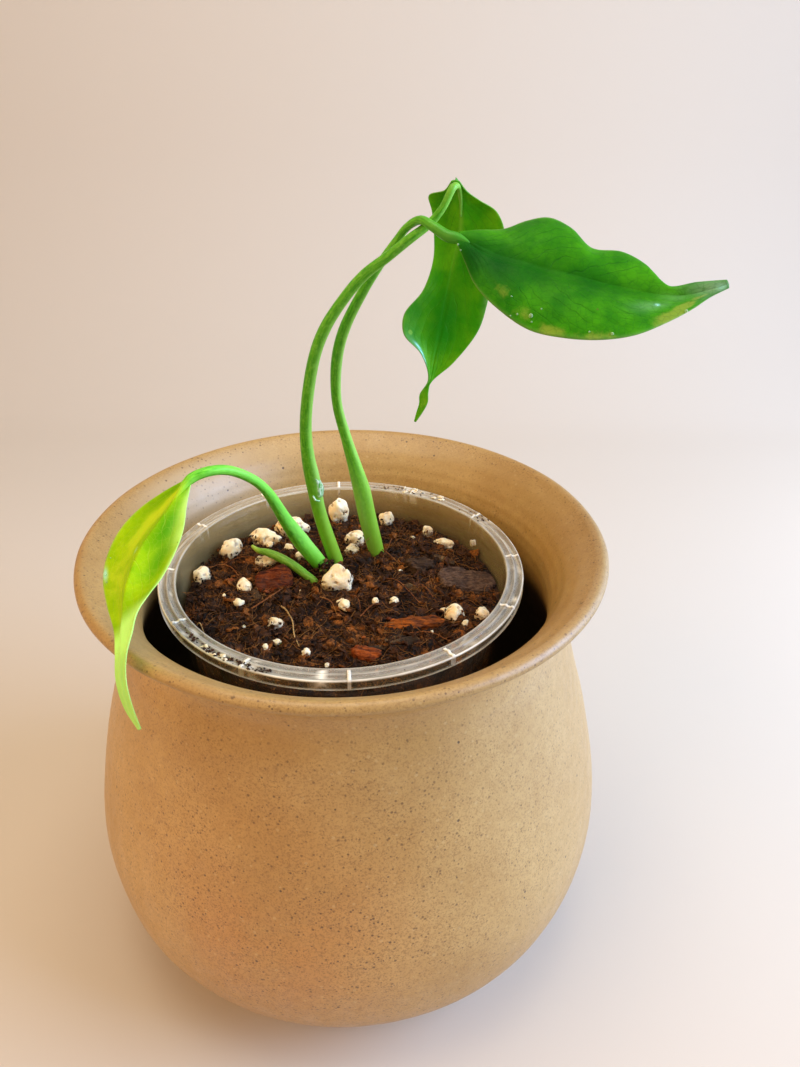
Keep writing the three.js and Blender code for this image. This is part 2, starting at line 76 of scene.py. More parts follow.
# The floor's sweep, from front to back as [y, z], and how far it goes to either side
SWEEP = [[-900, 0], [330, 0], [420, 12], [500, 60], [550, 140], [570, 260], [570, 1500]]
SWEEP_SIDE = 1500

# The stoneware pot, with its silhouettes as [radius, height], foot to lip and lip to floor
POT_FOOT_RADIUS = 50.5
POT_FLOOR = 6.5
POT_SIDES = 200
THROWING_RINGS = 1.7
# Turns in degrees of the glaze's painted grey reflection, its speckled, its warm and its pale side with a
# painted sheen
PAINTED_SHEEN_TURN = 143
SPECKLED_TURN = -95
WARM_TURN = -99
WINDOW_SHEEN_TURN = -28
POT_OUTSIDE = [
    [50.5, 0], [53.5, 0.8], [63.8, 6.5], [73, 15.8], [79.2, 26.8], [81.7, 41.5], [81, 56], [78.3, 70],
    [74.8, 84], [70.6, 98], [66.6, 112], [63.4, 122], [65, 129], [69.6, 134], [73.8, 136.6],
]
POT_LIP = [[73.8, 136.6], [74.9, 137.6], [75, 138.6], [74.3, 139.6], [73.2, 140], [71.8, 139.5]]
POT_INSIDE = [
    [71.8, 139.5], [67.3, 136.1], [63.8, 132.2], [61.5, 127.2], [60.2, 121], [61.3, 112], [65.6, 99],
    [70.2, 84], [74, 68], [76.6, 52], [76.2, 36], [71.5, 23], [62, 11], [52, 6.5],
]

# The clear nursery pot
NEST_CENTRE = np.array([-1.0, -2.0])
NEST_FOOT = POT_FLOOR + 0.3
NEST_WALL = 1
NEST_TOP = 130
NEST_MOUTH_RADIUS = 47.9
NEST_BASE_RADIUS = 37
FLANGE_RADIUS = 53
SKIRT = 3
# Steps round the flange: out from its rim, up from its top, how strong the painted highlight on its edge is
# and how sheer the plastic
FLANGE = [
    [-1.2, -1, 0, 1.8], [-1, -1.2, 0, 1.8], [-0.9, -2.9, 0, 1.8], [-0.7, -3, 0.5, 1.8], [-0.2, -3, 1, 1],
    [0, -2.85, 1, 1], [0, -2.65, 0.2, 1.8], [0, -2.5, 0, 1.8], [0, -0.7, 0, 1.8], [0, -0.5, 0.2, 1.6],
    [-0.12, -0.2, 0.9, 0.4], [-0.35, 0, 0.9, 0], [-0.5, -0.02, 0.1, 0], [-1, -0.1, 0, 0], [-1.3, -0.35, 0, 0],
    [-2, -0.38, 0, 0], [-2.25, -0.2, 0, 0], [-2.45, 0, 0.3, 0], [-2.7, 0, 0.3, 0], [-2.9, -0.04, 0, 0],
    [-3.4, -0.3, 0, 0], [-4.1, -0.3, 0, 0], [-4.4, -0.02, 0.15, 0], [-4.65, 0.05, 0.4, 0],
    [-4.9, -0.05, 0.4, 0.2], [-5.1, -0.5, 0, 0.8],
]
FLANGE_RIBS = 12
FIRST_RIB = 5.5
RIB_HEIGHT = 0.3
# Painted glints on the flange: turn and half width in degrees, and strength
GLINTS = [
    [-92, 3, 1], [-112, 4, 0.6], [-137, 2, 0.9], [-160, 3, 0.4], [-20, 2, 0.8], [-3, 2, 0.6],
    [66, 12, 0.7], [-47, 2, 0.5], [30, 4, 0.4], [160, 4, 0.4], [-120, 9, 0.35],
]

# The random relief's lattice
DRAW = np.random.default_rng(12)
SLOPES = DRAW.normal(size=(256, 3))
SLOPES /= np.linalg.norm(SLOPES, axis=1, keepdims=True)
SHUFFLE = DRAW.permutation(256)

# The mix, with a thin gap to the clear wall
MIX_TOP = 120
MIX_CELLS = 170
MIX_GAP = 0.3
PERLITE_NODES = sorted(n for n in frame["nodes"] if n.startswith("perlite"))
BARK_NODES = sorted(n for n in frame["nodes"] if n.startswith("bark"))
CRUMB_BROWNS = ("#130804", "#44260d", "#8a4e18")
HEAP_SHAPES = 6
BIG_LUMP = 6
# Small grains and chips on the mix: x, y and size
WHITE_GRAINS = [
    [-30.7, -12.1, 3], [8.7, -9.9, 2.4], [14.2, -7.7, 3.1], [28.8, -11, 2.6], [34.4, -18.6, 2.2],
    [-20.1, -30.4, 2.6], [-17.4, -28.6, 2.4], [-9, -33.6, 2.6], [40, 26.7, 2.6], [-20.3, 21, 3],
    [-26.6, 21.5, 2.2], [-24.2, 11.8, 4.2], [-21, 12.5, 3], [-0.2, -12.2, 3.8], [31.5, 25, 1.8],
    [20, 29, 1.6], [-3, -37.5, 1.4], [25, -22, 1.3], [-36, -7, 1.1], [2, -24, 1], [-14, -2, 1.1],
    [16, 8, 1.1], [37, 3, 1.3], [-28, -20, 1.2],
]
ORANGE_CHIPS = [
    [-35.7, 1.1, 3.8], [13, -17.5, 2.6], [-24, -4.5, 3], [6, -25.5, 1.8], [16.5, -20, 2.2],
    [-10, -27, 1.6],
]
# Splinters of grey wood: x, y, length and turn in degrees
SPLINTERS = [
    [10.7, -30.7, 9, 12], [6, -32.4, 7, 4], [17.5, -28.2, 8, 22], [14.6, -26, 6.5, 30], [-20, -18, 7, 150],
    [-27, -6, 6, 120], [2, -20.5, 5.5, 200], [29, -24, 6, 40], [30, 14, 7, -30], [-12, 24, 6, 10],
    [20, -2, 6, -50],
]
# Spilt bits on the flange: from and to in degrees, from and to in radius, and how many
SPILLS = [
    [-136, -106, 50.9, 52.6, 130], [-139, -133, 50.6, 51.8, 8], [58, 82, 48.6, 52.2, 34],
    [28, 44, 49, 52.4, 12],
]
PALE_SPILLS = [[-130, -116, 51.2, 52.3, 8], [45, 76, 49, 52, 12]]
# Crumbs by the wall, from and to in degrees and how many, and those heaped at the crown
CRUMBS_BY_WALL = [142, 218, 320]
CROWN_FOOT = [-7.2, 8.4, 121]
CROWN_CRUMBS = 110
# Long hairs and roots: the places that they pass over, their thickness and how high they arch
PALE_HAIRS = [
    [[[-18.6, -11], [-16.2, -15.9], [-14.2, -20.6], [-13, -26.1], [-11.1, -30.8]], 0.26, 1.9],
    [[[-40.5, -22.2], [-39, -24.2], [-37.5, -25.8]], 0.2, 2.4],
    [[[4.5, 16.6, 125.6], [5.4, 16.2, 126.8], [6.8, 16.4, 128.4]], 0.13, 0],
]
RED_ROOTS = [
    [[[4.7, -17.2], [8.5, -13.3], [12.8, -9.2]], 0.22, 1.2],
    [[[-44, 6.3], [-39.9, 9.9], [-36.3, 7.7], [-33.5, 2.6]], 0.2, 1.4],
    [[[-41.6, 9.3], [-33.4, 12.4], [-24.4, 11.4]], 0.16, 1.6],
    [[[-7.5, -8.8], [-4.4, -10.2], [-2, -15.1]], 0.22, 1],
    [[[1.4, -5.5], [3.7, -9.6], [4.8, -14.5]], 0.22, 1],
    [[[11.3, 3.8], [14.4, 1.1], [17.4, -3.1], [21.8, -9.2]], 0.18, 1],
    [[[22.6, -0.3], [24.9, -5.1], [26.8, -8.1]], 0.24, 0.8],
    [[[6.7, 21.1], [11, 16.9], [15.9, 12.2]], 0.18, 1.4],
    [[[-34, -17], [-30, -16.5], [-25, -16]], 0.14, 0.6],
    [[[18, -24], [24, -25], [30, -27]], 0.18, 0.9],
    [[[13, 27], [12, 20], [10.5, 15]], 0.16, 1],
    [[[-27, -13], [-22, -8], [-19, -2]], 0.26, 0.7],
]

STALK_SIDES = 32
# Stalk routes: x, y, z and radius
STALKS = {
    "petiole_left": [
        [-7.3, 13.4, 110, 2.2], [-8.7, 11.4, 119, 2.35], [-14.3, 7, 131.4, 2.4], [-17.4, 1.5, 141.7, 1.95],
        [-21.3, -8, 157.4, 1.35], [-24.8, -13, 163.5, 1.3], [-29.1, -17, 167.1, 1.3],
        [-33.3, -20, 167.9, 1.3], [-37, -21.8, 166.7, 1.3],
    ],
    "petiole_middle": [
        [-1.2, 13.8, 108, 2.1], [-3.9, 13.7, 118.5, 2.3], [-8.2, 13, 135.2, 2.1], [-10.3, 12.5, 146.4, 1.9],
        [-11.6, 12.3, 157, 1.8], [-11.4, 11.9, 170, 1.75], [-8.3, 11.3, 187.2, 1.65], [-5, 11, 195.6, 1.6],
        [0, 10.4, 203.3, 1.45], [5.8, 9.7, 210.1, 1.4], [12, 8.7, 215, 1.3], [17.5, 8.4, 219.4, 1.2],
        [22.4, 8.8, 223.1, 1.05], [25.4, 8.3, 226.8, 0.9], [27.9, 9.3, 231.4, 0.95],
    ],
    "petiole_right": [
        [10, 19.4, 108, 2.2], [8.4, 19, 120.7, 2.3], [6.2, 18.5, 132.1, 2.35], [4.2, 18, 143.7, 2.3],
        [2.3, 17.5, 151.4, 1.9], [-0.2, 16.8, 161, 1.5], [-2.8, 16.2, 173, 1.45], [-2.4, 15.4, 185.5, 1.6],
        [-0.1, 15, 194.3, 1.55], [5.5, 14.2, 205.3, 1.35], [10.6, 13.4, 213.2, 1.2],
        [14.4, 12.6, 218.5, 1.05], [16.6, 11.2, 221.5, 1], [19.9, 8, 223.9, 1.1], [23, 4.2, 223, 1.2],
        [26.6, 1.9, 221.2, 1.4], [28.3, 1.2, 221, 1.4],
    ],
    "young_shoot": [
        [-6.6, 0.8, 111.5, 1.2], [-9.7, 2.2, 119.3, 1.25], [-13.3, 4.4, 121.4, 1.3], [-17.4, 7.1, 123, 1.4],
        [-21.5, 9.3, 124.2, 1.4], [-25.6, 11.3, 124.8, 1.2], [-29, 12.7, 124.9, 0.8],
        [-30.7, 13.5, 125.9, 0.45],
    ],
    "crown": [[-7.6, 7.2, 110.5, 1.5], [-7.9, 6.9, 117, 1.5], [-7.8, 6.6, 121.6, 1.2]],
}
# How each leaf's stalk goes on inside the blade
INTO_LEFT = [[-39.4, -25.5, 164.4, 0.5], [-41, -28.3, 162.1, 0.12]]
INTO_MIDDLE = [[29.3, 12.2, 230.7, 0.7], [30.1, 13.8, 227.3, 0.4], [30.3, 14.4, 223.8, 0.2]]
INTO_RIGHT = [[30, 0.7, 220.6, 0.95], [32, 0, 220, 0.25]]
# A sheath is a wing on one side of a stalk: where it starts and ends, how far it stands out, and its side
SHEATHS = {
    "petiole_left": [0.12, 0.4, 0.4, [1, 0.2, 0.3]],
    "petiole_middle": [0.24, 0.34, 0.9, [1, -0.3, 0]],
    "petiole_right": [0.08, 0.36, 1, [-0.85, -0.55, 0]],
}

# The torn sheath on the middle stalk: the flap's edge at the stalk, its free edge, and the collar below
SHEATH_FLAP = [
    [[-10.7, 11.4, 153], [-10.2, 11, 150.6], [-9.7, 10.9, 147.8], [-9.1, 11, 144.8]],
    [[-10.2, 11.2, 153.4], [-8.2, 11.6, 150.2], [-7.2, 12, 147.4], [-7.5, 11.9, 144.6]],
]
SHEATH_COLLAR = [[-10.4, 10.7, 145.3], [-9.6, 10.6, 143.9], [-8.8, 11, 143.5], [-8, 11.9, 143.8]]

# The blades' points along and across, their thickness, and how high the midrib stands at the base
BLADE_ROWS = 150
BLADE_COLUMNS = 61
BLADE_THICK = 0.45
MIDRIB = 0.5
# Leaf stations from the base to the tip: left edge, midrib, right edge
LEAVES = {
    "blade_left": [
        [[-38.4, -21.6, 166.5], [-37.6, -22.4, 166.1], [-36.7, -23, 165.7]],
        [[-43.9, -23, 163.7], [-39.5, -26, 164.2], [-37.1, -27, 162.5]],
        [[-50, -25, 159.8], [-42.9, -31, 160.2], [-37.1, -33, 158.5]],
        [[-54.2, -29, 156], [-46.3, -36, 156.3], [-38, -39, 155.7]],
        [[-56.6, -34, 151.4], [-47.8, -42, 153.2], [-39.9, -45, 152.7]],
        [[-56.6, -39, 147.7], [-48.2, -48, 150.2], [-41.4, -51, 152]],
        [[-53.9, -46, 144.9], [-47.3, -54, 147.8], [-42.7, -57, 151]],
        [[-50, -54, 143.6], [-46.4, -59, 146], [-43, -61, 148.6]],
        [[-47.6, -61.2, 143], [-45.6, -62.7, 144], [-43.9, -63.7, 145]],
        [[-47.4, -64.2, 137.6], [-46, -64.7, 138.1], [-44.6, -65.2, 138.5]],
        [[-46.2, -65.7, 131], [-45, -66.2, 131.8], [-43.8, -66.7, 132.6]],
        [[-43.8, -66.5, 125.2], [-43.3, -66.8, 125.4], [-42.8, -67.1, 125.8]],
    ],
    "blade_middle": [
        [[27.3, 10.8, 232.3], [28.4, 10.8, 232.6], [29.5, 10.8, 232.2]],
        [[25.8, 14.5, 229.8], [29.7, 13, 230.4], [31.5, 12.5, 229.9]],
        [[22.1, 18, 228.1], [30.2, 14, 227.2], [34.8, 13, 227.8]],
        [[23, 17.5, 224.6], [30.4, 14.5, 223.7], [39.1, 13, 225.3]],
        [[23.7, 16, 219], [30.1, 14.5, 218.6], [41.3, 12, 221]],
        [[23.6, 14, 213.2], [29, 14, 214], [41.2, 12, 215]],
        [[21.1, 10, 206.4], [27.9, 13, 207.1], [38.8, 12, 207.7]],
        [[16.2, 6, 201], [26.8, 11.5, 200.4], [38.1, 12, 202.2]],
        [[16.2, 5, 196.3], [25.6, 10, 193.8], [36.1, 11, 195.5]],
        [[20.9, 6, 190.6], [24.4, 8.5, 188.2], [29.6, 9, 187.2]],
        [[23, 6.6, 183.5], [23.4, 6.9, 182.9], [23.8, 7.1, 182.4]],
        [[20.7, 6.4, 179.2], [21.9, 6, 179.8], [23, 5.2, 180.3]],
        [[20.6, 5.6, 177], [21.8, 5.2, 177.4], [22.9, 4.4, 177.8]],
        [[19.9, 5, 174.6], [20.7, 4.7, 174.7], [21.6, 4.2, 175]],
        [[19.3, 4.4, 172.3], [19.5, 4.2, 172.1], [19.7, 4, 172.2]],
    ],
    "blade_right": [
        [[29.2, 2.2, 222.2], [29, 1, 221.1], [28.6, -0.3, 220.2]],
        [[33.6, 3, 222.5], [33.5, -0.5, 219.7], [30.6, -3, 216.2]],
        [[40.4, 5, 222.5], [39, -2.5, 217.6], [33, -9, 212]],
        [[46.1, 7, 224.1], [45.1, -4, 216.4], [38, -14, 208]],
        [[51.5, 7.5, 224.8], [50.8, -5, 215], [45.1, -18, 204.3]],
        [[56.7, 5, 222.9], [57.2, -6, 213.7], [53, -21, 203.4]],
        [[61.5, 1, 219], [63.4, -7, 212.4], [61.2, -22, 203.4]],
        [[68.9, 1, 218.2], [69.7, -8, 211.3], [69, -21, 204.3]],
        [[74.1, -2, 216], [75.8, -9, 210.4], [76.8, -18, 206.5]],
        [[78.7, -7, 212.1], [81.4, -10, 210.5], [83, -15, 208.8]],
        [[84.9, -9, 213.5], [86.7, -11, 211.9], [87.4, -13, 211.1]],
        [[90.9, -11.2, 214.6], [91.3, -12, 213.8], [91.2, -12.8, 213.1]],
    ],
}

# How far each blade bellies out, and which of its faces shows
BELLIES = {"blade_left": 0.16, "blade_middle": 0.1, "blade_right": 0.1}
FACES = {"blade_left": -1, "blade_middle": -1, "blade_right": 1}
# How the side veins sweep towards the tip and curve, and how many soft quilts lie between them
VEIN_SWEEP = 0.35
VEIN_CURVE = 1.2
QUILTS = 12

# Where each midrib runs, as [along the blade, side], with the sides from -1 to 1
LEFT_RIB = [[0, -0.3], [0.05, -0.38], [0.2, -0.36], [0.32, -0.45], [0.5, -0.3], [0.8, 0], [1, 0]]
RIGHT_RIB = [[0, 0], [0.1, 0.2], [0.33, 0.05], [0.53, 0.2], [0.69, 0.31], [0.88, 0.35], [1, 0]]
MIDDLE_RIB = [[0, 0], [1, 0]]
# Tints a blade can be marked with; the soft sheen and the small glints among them are painted reflections and
# painted highlights
LEAF_TINTS = ("dark", "yellow", "bloom", "wet", "under")
# Marks on a blade's face: how far along, which side, half length, half width and strength. A tail shows its
# underside past a slanting line, given by where it starts and how it slants
LEFT_MARKS = {
    "dark": [[0.2, 0.3, 0.1, 0.35, 1], [0.3, 0.55, 0.12, 0.3, 0.9], [0.1, -0.75, 0.1, 0.25, 0.6],
             [0.42, 0.9, 0.1, 0.2, 0.4]],
    "yellow": [[0.12, -0.3, 0.1, 0.2, 0.7], [0.24, -0.45, 0.1, 0.2, 0.6], [0.42, -0.6, 0.14, 0.4, 0.4]],
    "under": [[0.1, 1.0, 0.1, 0.42, 1], [0.19, 1.0, 0.06, 0.3, 0.9], [0.32, 1.0, 0.12, 0.08, 0.7]],
    "wet": [[0.43, -0.95, 0.02, 0.05, 0.8], [0.3, -0.2, 0.01, 0.03, 0.3]],
    "tail": [0.51, 0.106],
}
MIDDLE_MARKS = {
    "dark": [[0.52, 0.1, 0.12, 0.5, 0.9], [0.4, 0.3, 0.1, 0.4, 0.5], [0.33, -0.5, 0.08, 0.4, 0.4],
             [0.2, -0.6, 0.1, 0.3, 0.5], [0.5, -0.7, 0.1, 0.3, 0.5]],
    "yellow": [[0.563, -0.81, 0.008, 0.06, 1], [0.7, -0.3, 0.03, 0.3, 0.3], [0.85, 0, 0.08, 1, 0.35]],
    "bloom": [[0.62, -0.9, 0.04, 0.16, 0.45], [0.47, 0.97, 0.05, 0.06, 0.4], [0.74, -0.6, 0.03, 0.3, 0.3]],
    "wet": [[0.612, -0.8, 0.013, 0.06, 1], [0.634, -0.88, 0.013, 0.06, 1], [0.655, -0.94, 0.012, 0.05, 0.9]],
}
RIGHT_MARKS = {
    "dark": [[0.1, 0.5, 0.1, 0.9, 1], [0.2, 0.3, 0.12, 0.6, 1], [0.33, 0.16, 0.14, 0.38, 0.8],
             [0.48, 0.1, 0.13, 0.26, 0.65], [0.62, 0.06, 0.1, 0.2, 0.5], [0.3, -0.9, 0.1, 0.08, 0.25]],
    "yellow": [[0.415, 0.95, 0.04, 0.08, 0.5], [0.33, 0.86, 0.035, 0.12, 0.35],
               [0.53, 0.96, 0.07, 0.07, 0.42], [0.74, 0.9, 0.05, 0.16, 0.8], [0.8, 0.75, 0.05, 0.14, 0.75],
               [0.87, 0.6, 0.04, 0.12, 0.6], [0.26, 0.75, 0.03, 0.12, 0.3]],
    "bloom": [[0.69, 0.5, 0.06, 0.12, 0.3], [0.8, 0.2, 0.06, 0.3, 0.2], [0.95, 0, 0.08, 1, 0.9]],
    "wet": [[0.707, 0.49, 0.006, 0.03, 0.9], [0.97, 0.3, 0.02, 0.6, 0.4]],
}
# Drops of water: how far along the blade, which side, and size
RIGHT_DROPS = [
    [0.013, 0.93, 0.5], [0.037, 0.95, 0.4], [0.287, 0.73, 0.4], [0.32, 0.91, 0.5], [0.353, 0.83, 1],
    [0.377, 0.7, 0.45], [0.31, 0.98, 0.4], [0.36, 0.91, 0.45], [0.51, 0.91, 0.45], [0.573, 0.95, 0.7],
    [0.79, 0.96, 0.8], [0.707, 0.49, 0.45],
]
LEFT_DROPS = [[0.43, -0.93, 0.6], [0.457, -0.91, 0.5], [0.36, -0.9, 0.35]]


def tint(code):
    """A colour from its usual six-digit code, as the linear values that a shader takes."""
    shares = [int(code[i:i + 2], 16) / 255 for i in (1, 3, 5)]
    return [s / 12.92 if s <= 0.04045 else ((s + 0.055) / 1.055) ** 2.4 for s in shares] + [1]


def bell(distance):
    return np.exp(-np.square(distance))


def ease(low, high, value):
    share = np.clip((value - low) / (high - low), 0, 1)
    return share * share * (3 - 2 * share)


def swells(spot):
    """Smooth random relief at points on a lattice of unit cells, each corner with a slope of its own."""
    cell = np.floor(spot).astype(int)
    share = spot - cell
    fade = share ** 3 * (share * (share * 6 - 15) + 10)
    total = np.zeros(len(spot))
    for corner in np.ndindex(2, 2, 2):
        at = (cell + corner) % len(SHUFFLE)
        pick = SHUFFLE[at[:, 0]]
        for k in (1, 2):
            pick = SHUFFLE[(pick + at[:, k]) % len(SHUFFLE)]
        weight = np.prod(np.where(corner, fade, 1 - fade), axis=1)
        total += weight * np.einsum("ij,ij->i", SLOPES[pick], share - corner)
    return total


def rough(points, size, seed=0, octaves=1):
    """Relief from about -1 to 1 at points in millimetres, with swells of one size and finer ones on them."""
    spot = np.asarray(points, float) / size + seed * 7.13
    total, weight = 0, 1.6
    for _ in range(octaves):
        total = total + weight * swells(spot)
        spot, weight = spot * 2.03 + 3.7, weight * 0.5
    return total


def unit(vectors):
    return vectors / np.maximum(np.linalg.norm(vectors, axis=-1, keepdims=True), 1e-9)


def smooth_line(points, places):
    """Points on a smooth line through the given ones, at places from 0 to 1, or at so many even places."""
    if isinstance(places, int):
        places = np.linspace(0, 1, places)
    knots = np.asarray(points, float)
    knots = np.vstack([2 * knots[0] - knots[1], knots, 2 * knots[-1] - knots[-2]])
    spot = np.clip(places, 0, 1) * (len(points) - 1)
    first = np.minimum(spot.astype(int), len(points) - 2)
    share = (spot - first)[:, None]
    a, b, c, d = (knots[first + k] for k in range(4))
    before, between, after = (
        np.maximum(np.linalg.norm(q - p, axis=1), 1e-4)[:, None] ** 0.5 for p, q in ((a, b), (b, c), (c, d))
    )
    leave = (b - a) / before - (c - a) / (before + between) + (c - b) / between
    reach = (c - b) / between - (d - b) / (between + after) + (d - c) / after
    leave, reach = leave * between, reach * between
    bend = -3 * b + 3 * c - 2 * leave - reach
    twist = 2 * b - 2 * c + leave + reach
    return b + leave * share + bend * share ** 2 + twist * share ** 3


def around(count):
    """Even turns all the way round, in radians."""
    return np.linspace(0, 2 * math.pi, count, endpoint=False)


def apart(turns, place):
    """How far turns lie from a place, the shorter way round, in radians."""
    return np.abs((turns - place + math.pi) % (2 * math.pi) - math.pi)


def node_box(node):
    """The low and high corners of a CAD node, in millimetres."""
    return [np.array(corner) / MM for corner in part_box(node)]


# Meshes

def plain_mesh(name, points, faces):
    mesh = bpy.data.meshes.new(name)
    mesh.from_pydata(points.tolist(), [], faces)
    return mesh


def shown_object(name, mesh):
    made = bpy.data.objects.new(name, mesh)
    bpy.context.scene.collection.objects.link(made)
    return made


def add_fact(mesh, label, values):
    layer = mesh.attributes.new(label, "FLOAT", "POINT")
    layer.data.foreach_set("value", np.asarray(values, np.float32).ravel())


def make_piece(name, points, faces, finish, nodes=(), facts=None, flat=False):
    """A mesh object of points in millimetres that rides with the pot and stands for CAD nodes."""
    mesh = plain_mesh(name, np.asarray(points, float) * MM, faces)
    shape = bmesh.new()
    shape.from_mesh(mesh)
    if shape.calc_volume(signed=True) < 0:
        mesh.flip_normals()
    shape.free()
    for label, values in (facts or {}).items():
        add_fact(mesh, label, values)
    mesh.materials.append(finish)
    return settle(name, mesh, nodes, flat)


def settle(name, mesh, nodes=(), flat=False):
    """Shows a mesh as a piece that rides with the pot."""
    mesh.polygons.foreach_set("use_smooth", [not flat] * len(mesh.polygons))
    mesh.update()
    piece = shown_object(name, mesh)
    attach(piece, BODY)
    if nodes:
        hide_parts(*nodes)


def ring_faces(rows, sides):
    """Faces between rows of points that each close round."""
    return [
        (i * sides + j, i * sides + (j + 1) % sides, (i + 1) * sides + (j + 1) % sides, (i + 1) * sides + j)
        for i in range(rows - 1) for j in range(sides)
    ]


def grid_faces(rows, columns):
    """Faces between rows of points that stay open."""
    starts = [i * columns + j for i in range(rows - 1) for j in range(columns - 1)]
    return [(a, a + 1, a + columns + 1, a + columns) for a in starts]


def closed_rings(rings, start, end):
    """Points and faces of rings of points, closed by a fan round a point at each end."""
    rows, sides = rings.shape[:2]
    points = np.vstack([rings.reshape(-1, 3), start, end])
    faces = ring_faces(rows, sides)
    first, last, base = rows * sides, rows * sides + 1, (rows - 1) * sides
    for j in range(sides):
        k = (j + 1) % sides
        faces += [(first, k, j), (last, base + j, base + k)]
    return points, faces


def closed_sheet(over, under):
    """Points and faces of two like grids, joined round their borders."""
    rows, columns = over.shape[:2]
    count = rows * columns
    points = np.vstack([over.reshape(-1, 3), under.reshape(-1, 3)])
    faces = []
    for quad in grid_faces(rows, columns):
        faces += [quad, tuple(count + k for k in reversed(quad))]
    border = [*range(columns - 1)]
    border += [i * columns + columns - 1 for i in range(rows - 1)]
    border += [count - 1 - j for j in range(columns - 1)]
    border += [(rows - 1 - i) * columns for i in range(rows - 1)]
    for here, after in zip(border, border[1:] + border[:1]):
        faces.append((after, here, count + here, count + after))
    return points, faces


# Finishes

def add_node(tree, kind, inputs=None, **settings):
    """A node with its settings made and its inputs fed."""
    made = tree.nodes.new(kind)
    for setting, value in settings.items():
        setattr(made, setting, value)
    for socket, value in (inputs or {}).items():
        feed(tree, made.inputs[socket], value)
    return made


def feed(tree, socket, value):
    """Links another node's output to a socket, or sets a plain value on it."""
    if isinstance(value, bpy.types.NodeSocket):
        tree.links.new(value, socket)
    else:
        socket.default_value = value


class Finish:
    """A material whose colours are laid one over another."""

    def __init__(self, name, colour=None):
        self.material = bpy.data.materials.new(name)
        self.material.use_nodes = True
        self.tree = self.material.node_tree
        self.colour = colour

    def node(self, kind, inputs=None, **settings):
        return add_node(self.tree, "ShaderNode" + kind, inputs, **settings)

    def done(self, **values):
        """Feeds the shader's sockets, named with spaces left out."""
        shader = self.tree.nodes["Principled BSDF"]
        names = {socket.name.replace(" ", ""): socket for socket in shader.inputs}
        for name, value in {"BaseColor": self.colour, **values}.items():
            feed(self.tree, names[name], value)
        return self.material

    def place(self, stretch=None):
        coordinates = self.node("TexCoord").outputs["Object"]
        if stretch is None:
            return coordinates
        return self.node("Mapping", {"Vector": coordinates, "Scale": stretch}).outputs[0]

    def fact(self, name):
        return self.node("Attribute", attribute_name=name).outputs["Fac"]

    def noise(self, place, scale, detail, roughness):
        inputs = {"Vector": place, "Scale": scale, "Detail": detail, "Roughness": roughness}
        return self.node("TexNoise", inputs).outputs["Fac"]

    def cloud(self, size, detail=3, stretch=None, roughness=0.55):
        """Noise whose swells have a size in millimetres."""
        return self.noise(self.place(stretch), 1 / (size * MM), detail, roughness)

    def wander(self, size, detail, reach):
        """Noise about zero."""
        return self.times(self.math("SUBTRACT", self.cloud(size, detail), 0.5), reach)

    def band(self, value, low, high, start=0.0, end=1.0):
        inputs = {"Value": value, "From Min": low, "From Max": high, "To Min": start, "To Max": end}
        return self.node("MapRange", inputs, interpolation_type="SMOOTHSTEP").outputs[0]

    def math(self, operation, first, second=0.0):
        return self.node("Math", {0: first, 1: second}, operation=operation).outputs[0]

    def vector(self, operation, *values):
        return self.node("VectorMath", dict(enumerate(values)), operation=operation).outputs[0]

    def plus(self, first, second):
        return self.math("ADD", first, second)

    def times(self, *values):
        """The product of values, where a text stands for the fact of that name."""
        product = None
        for value in values:
            if isinstance(value, str):
                value = self.fact(value)
            product = value if product is None else self.math("MULTIPLY", product, value)
        return product

    def blend(self, share, first, second):
        return self.node("Mix", {0: share, 6: first, 7: second}, data_type="RGBA").outputs[2]

    def base(self, share, first, second):
        self.colour = self.blend(share, tint(first), tint(second))

    def over(self, code, *shares):
        """Lays a colour over what is there, by the product of the shares."""
        self.colour = self.blend(self.times(*shares), self.colour, tint(code))

    def specks(self, spacing, size, share):
        """Specks scattered at a spacing in millimetres, in a share of the places."""
        cells = self.node("TexVoronoi", {"Vector": self.place(), "Scale": 1 / (spacing * MM)})
        pick = self.node("SeparateColor", {0: cells.outputs["Color"]})
        near = self.math("DIVIDE", cells.outputs["Distance"], self.times(pick.outputs[1], size / spacing))
        chosen = self.math("LESS_THAN", pick.outputs[0], share)
        return self.times(self.band(near, 0.65, 1.35, 1, 0), chosen)

    def bump(self, height, depth):
        return self.node("Bump", {"Height": height, "Strength": 1.0, "Distance": depth * MM}).outputs[0]


def within(weight, *depths):
    """Light that sinks in, by depths in millimetres for red, green and blue."""
    return {"SubsurfaceWeight": weight, "SubsurfaceRadius": [d * MM for d in depths], "SubsurfaceScale": 1.0}


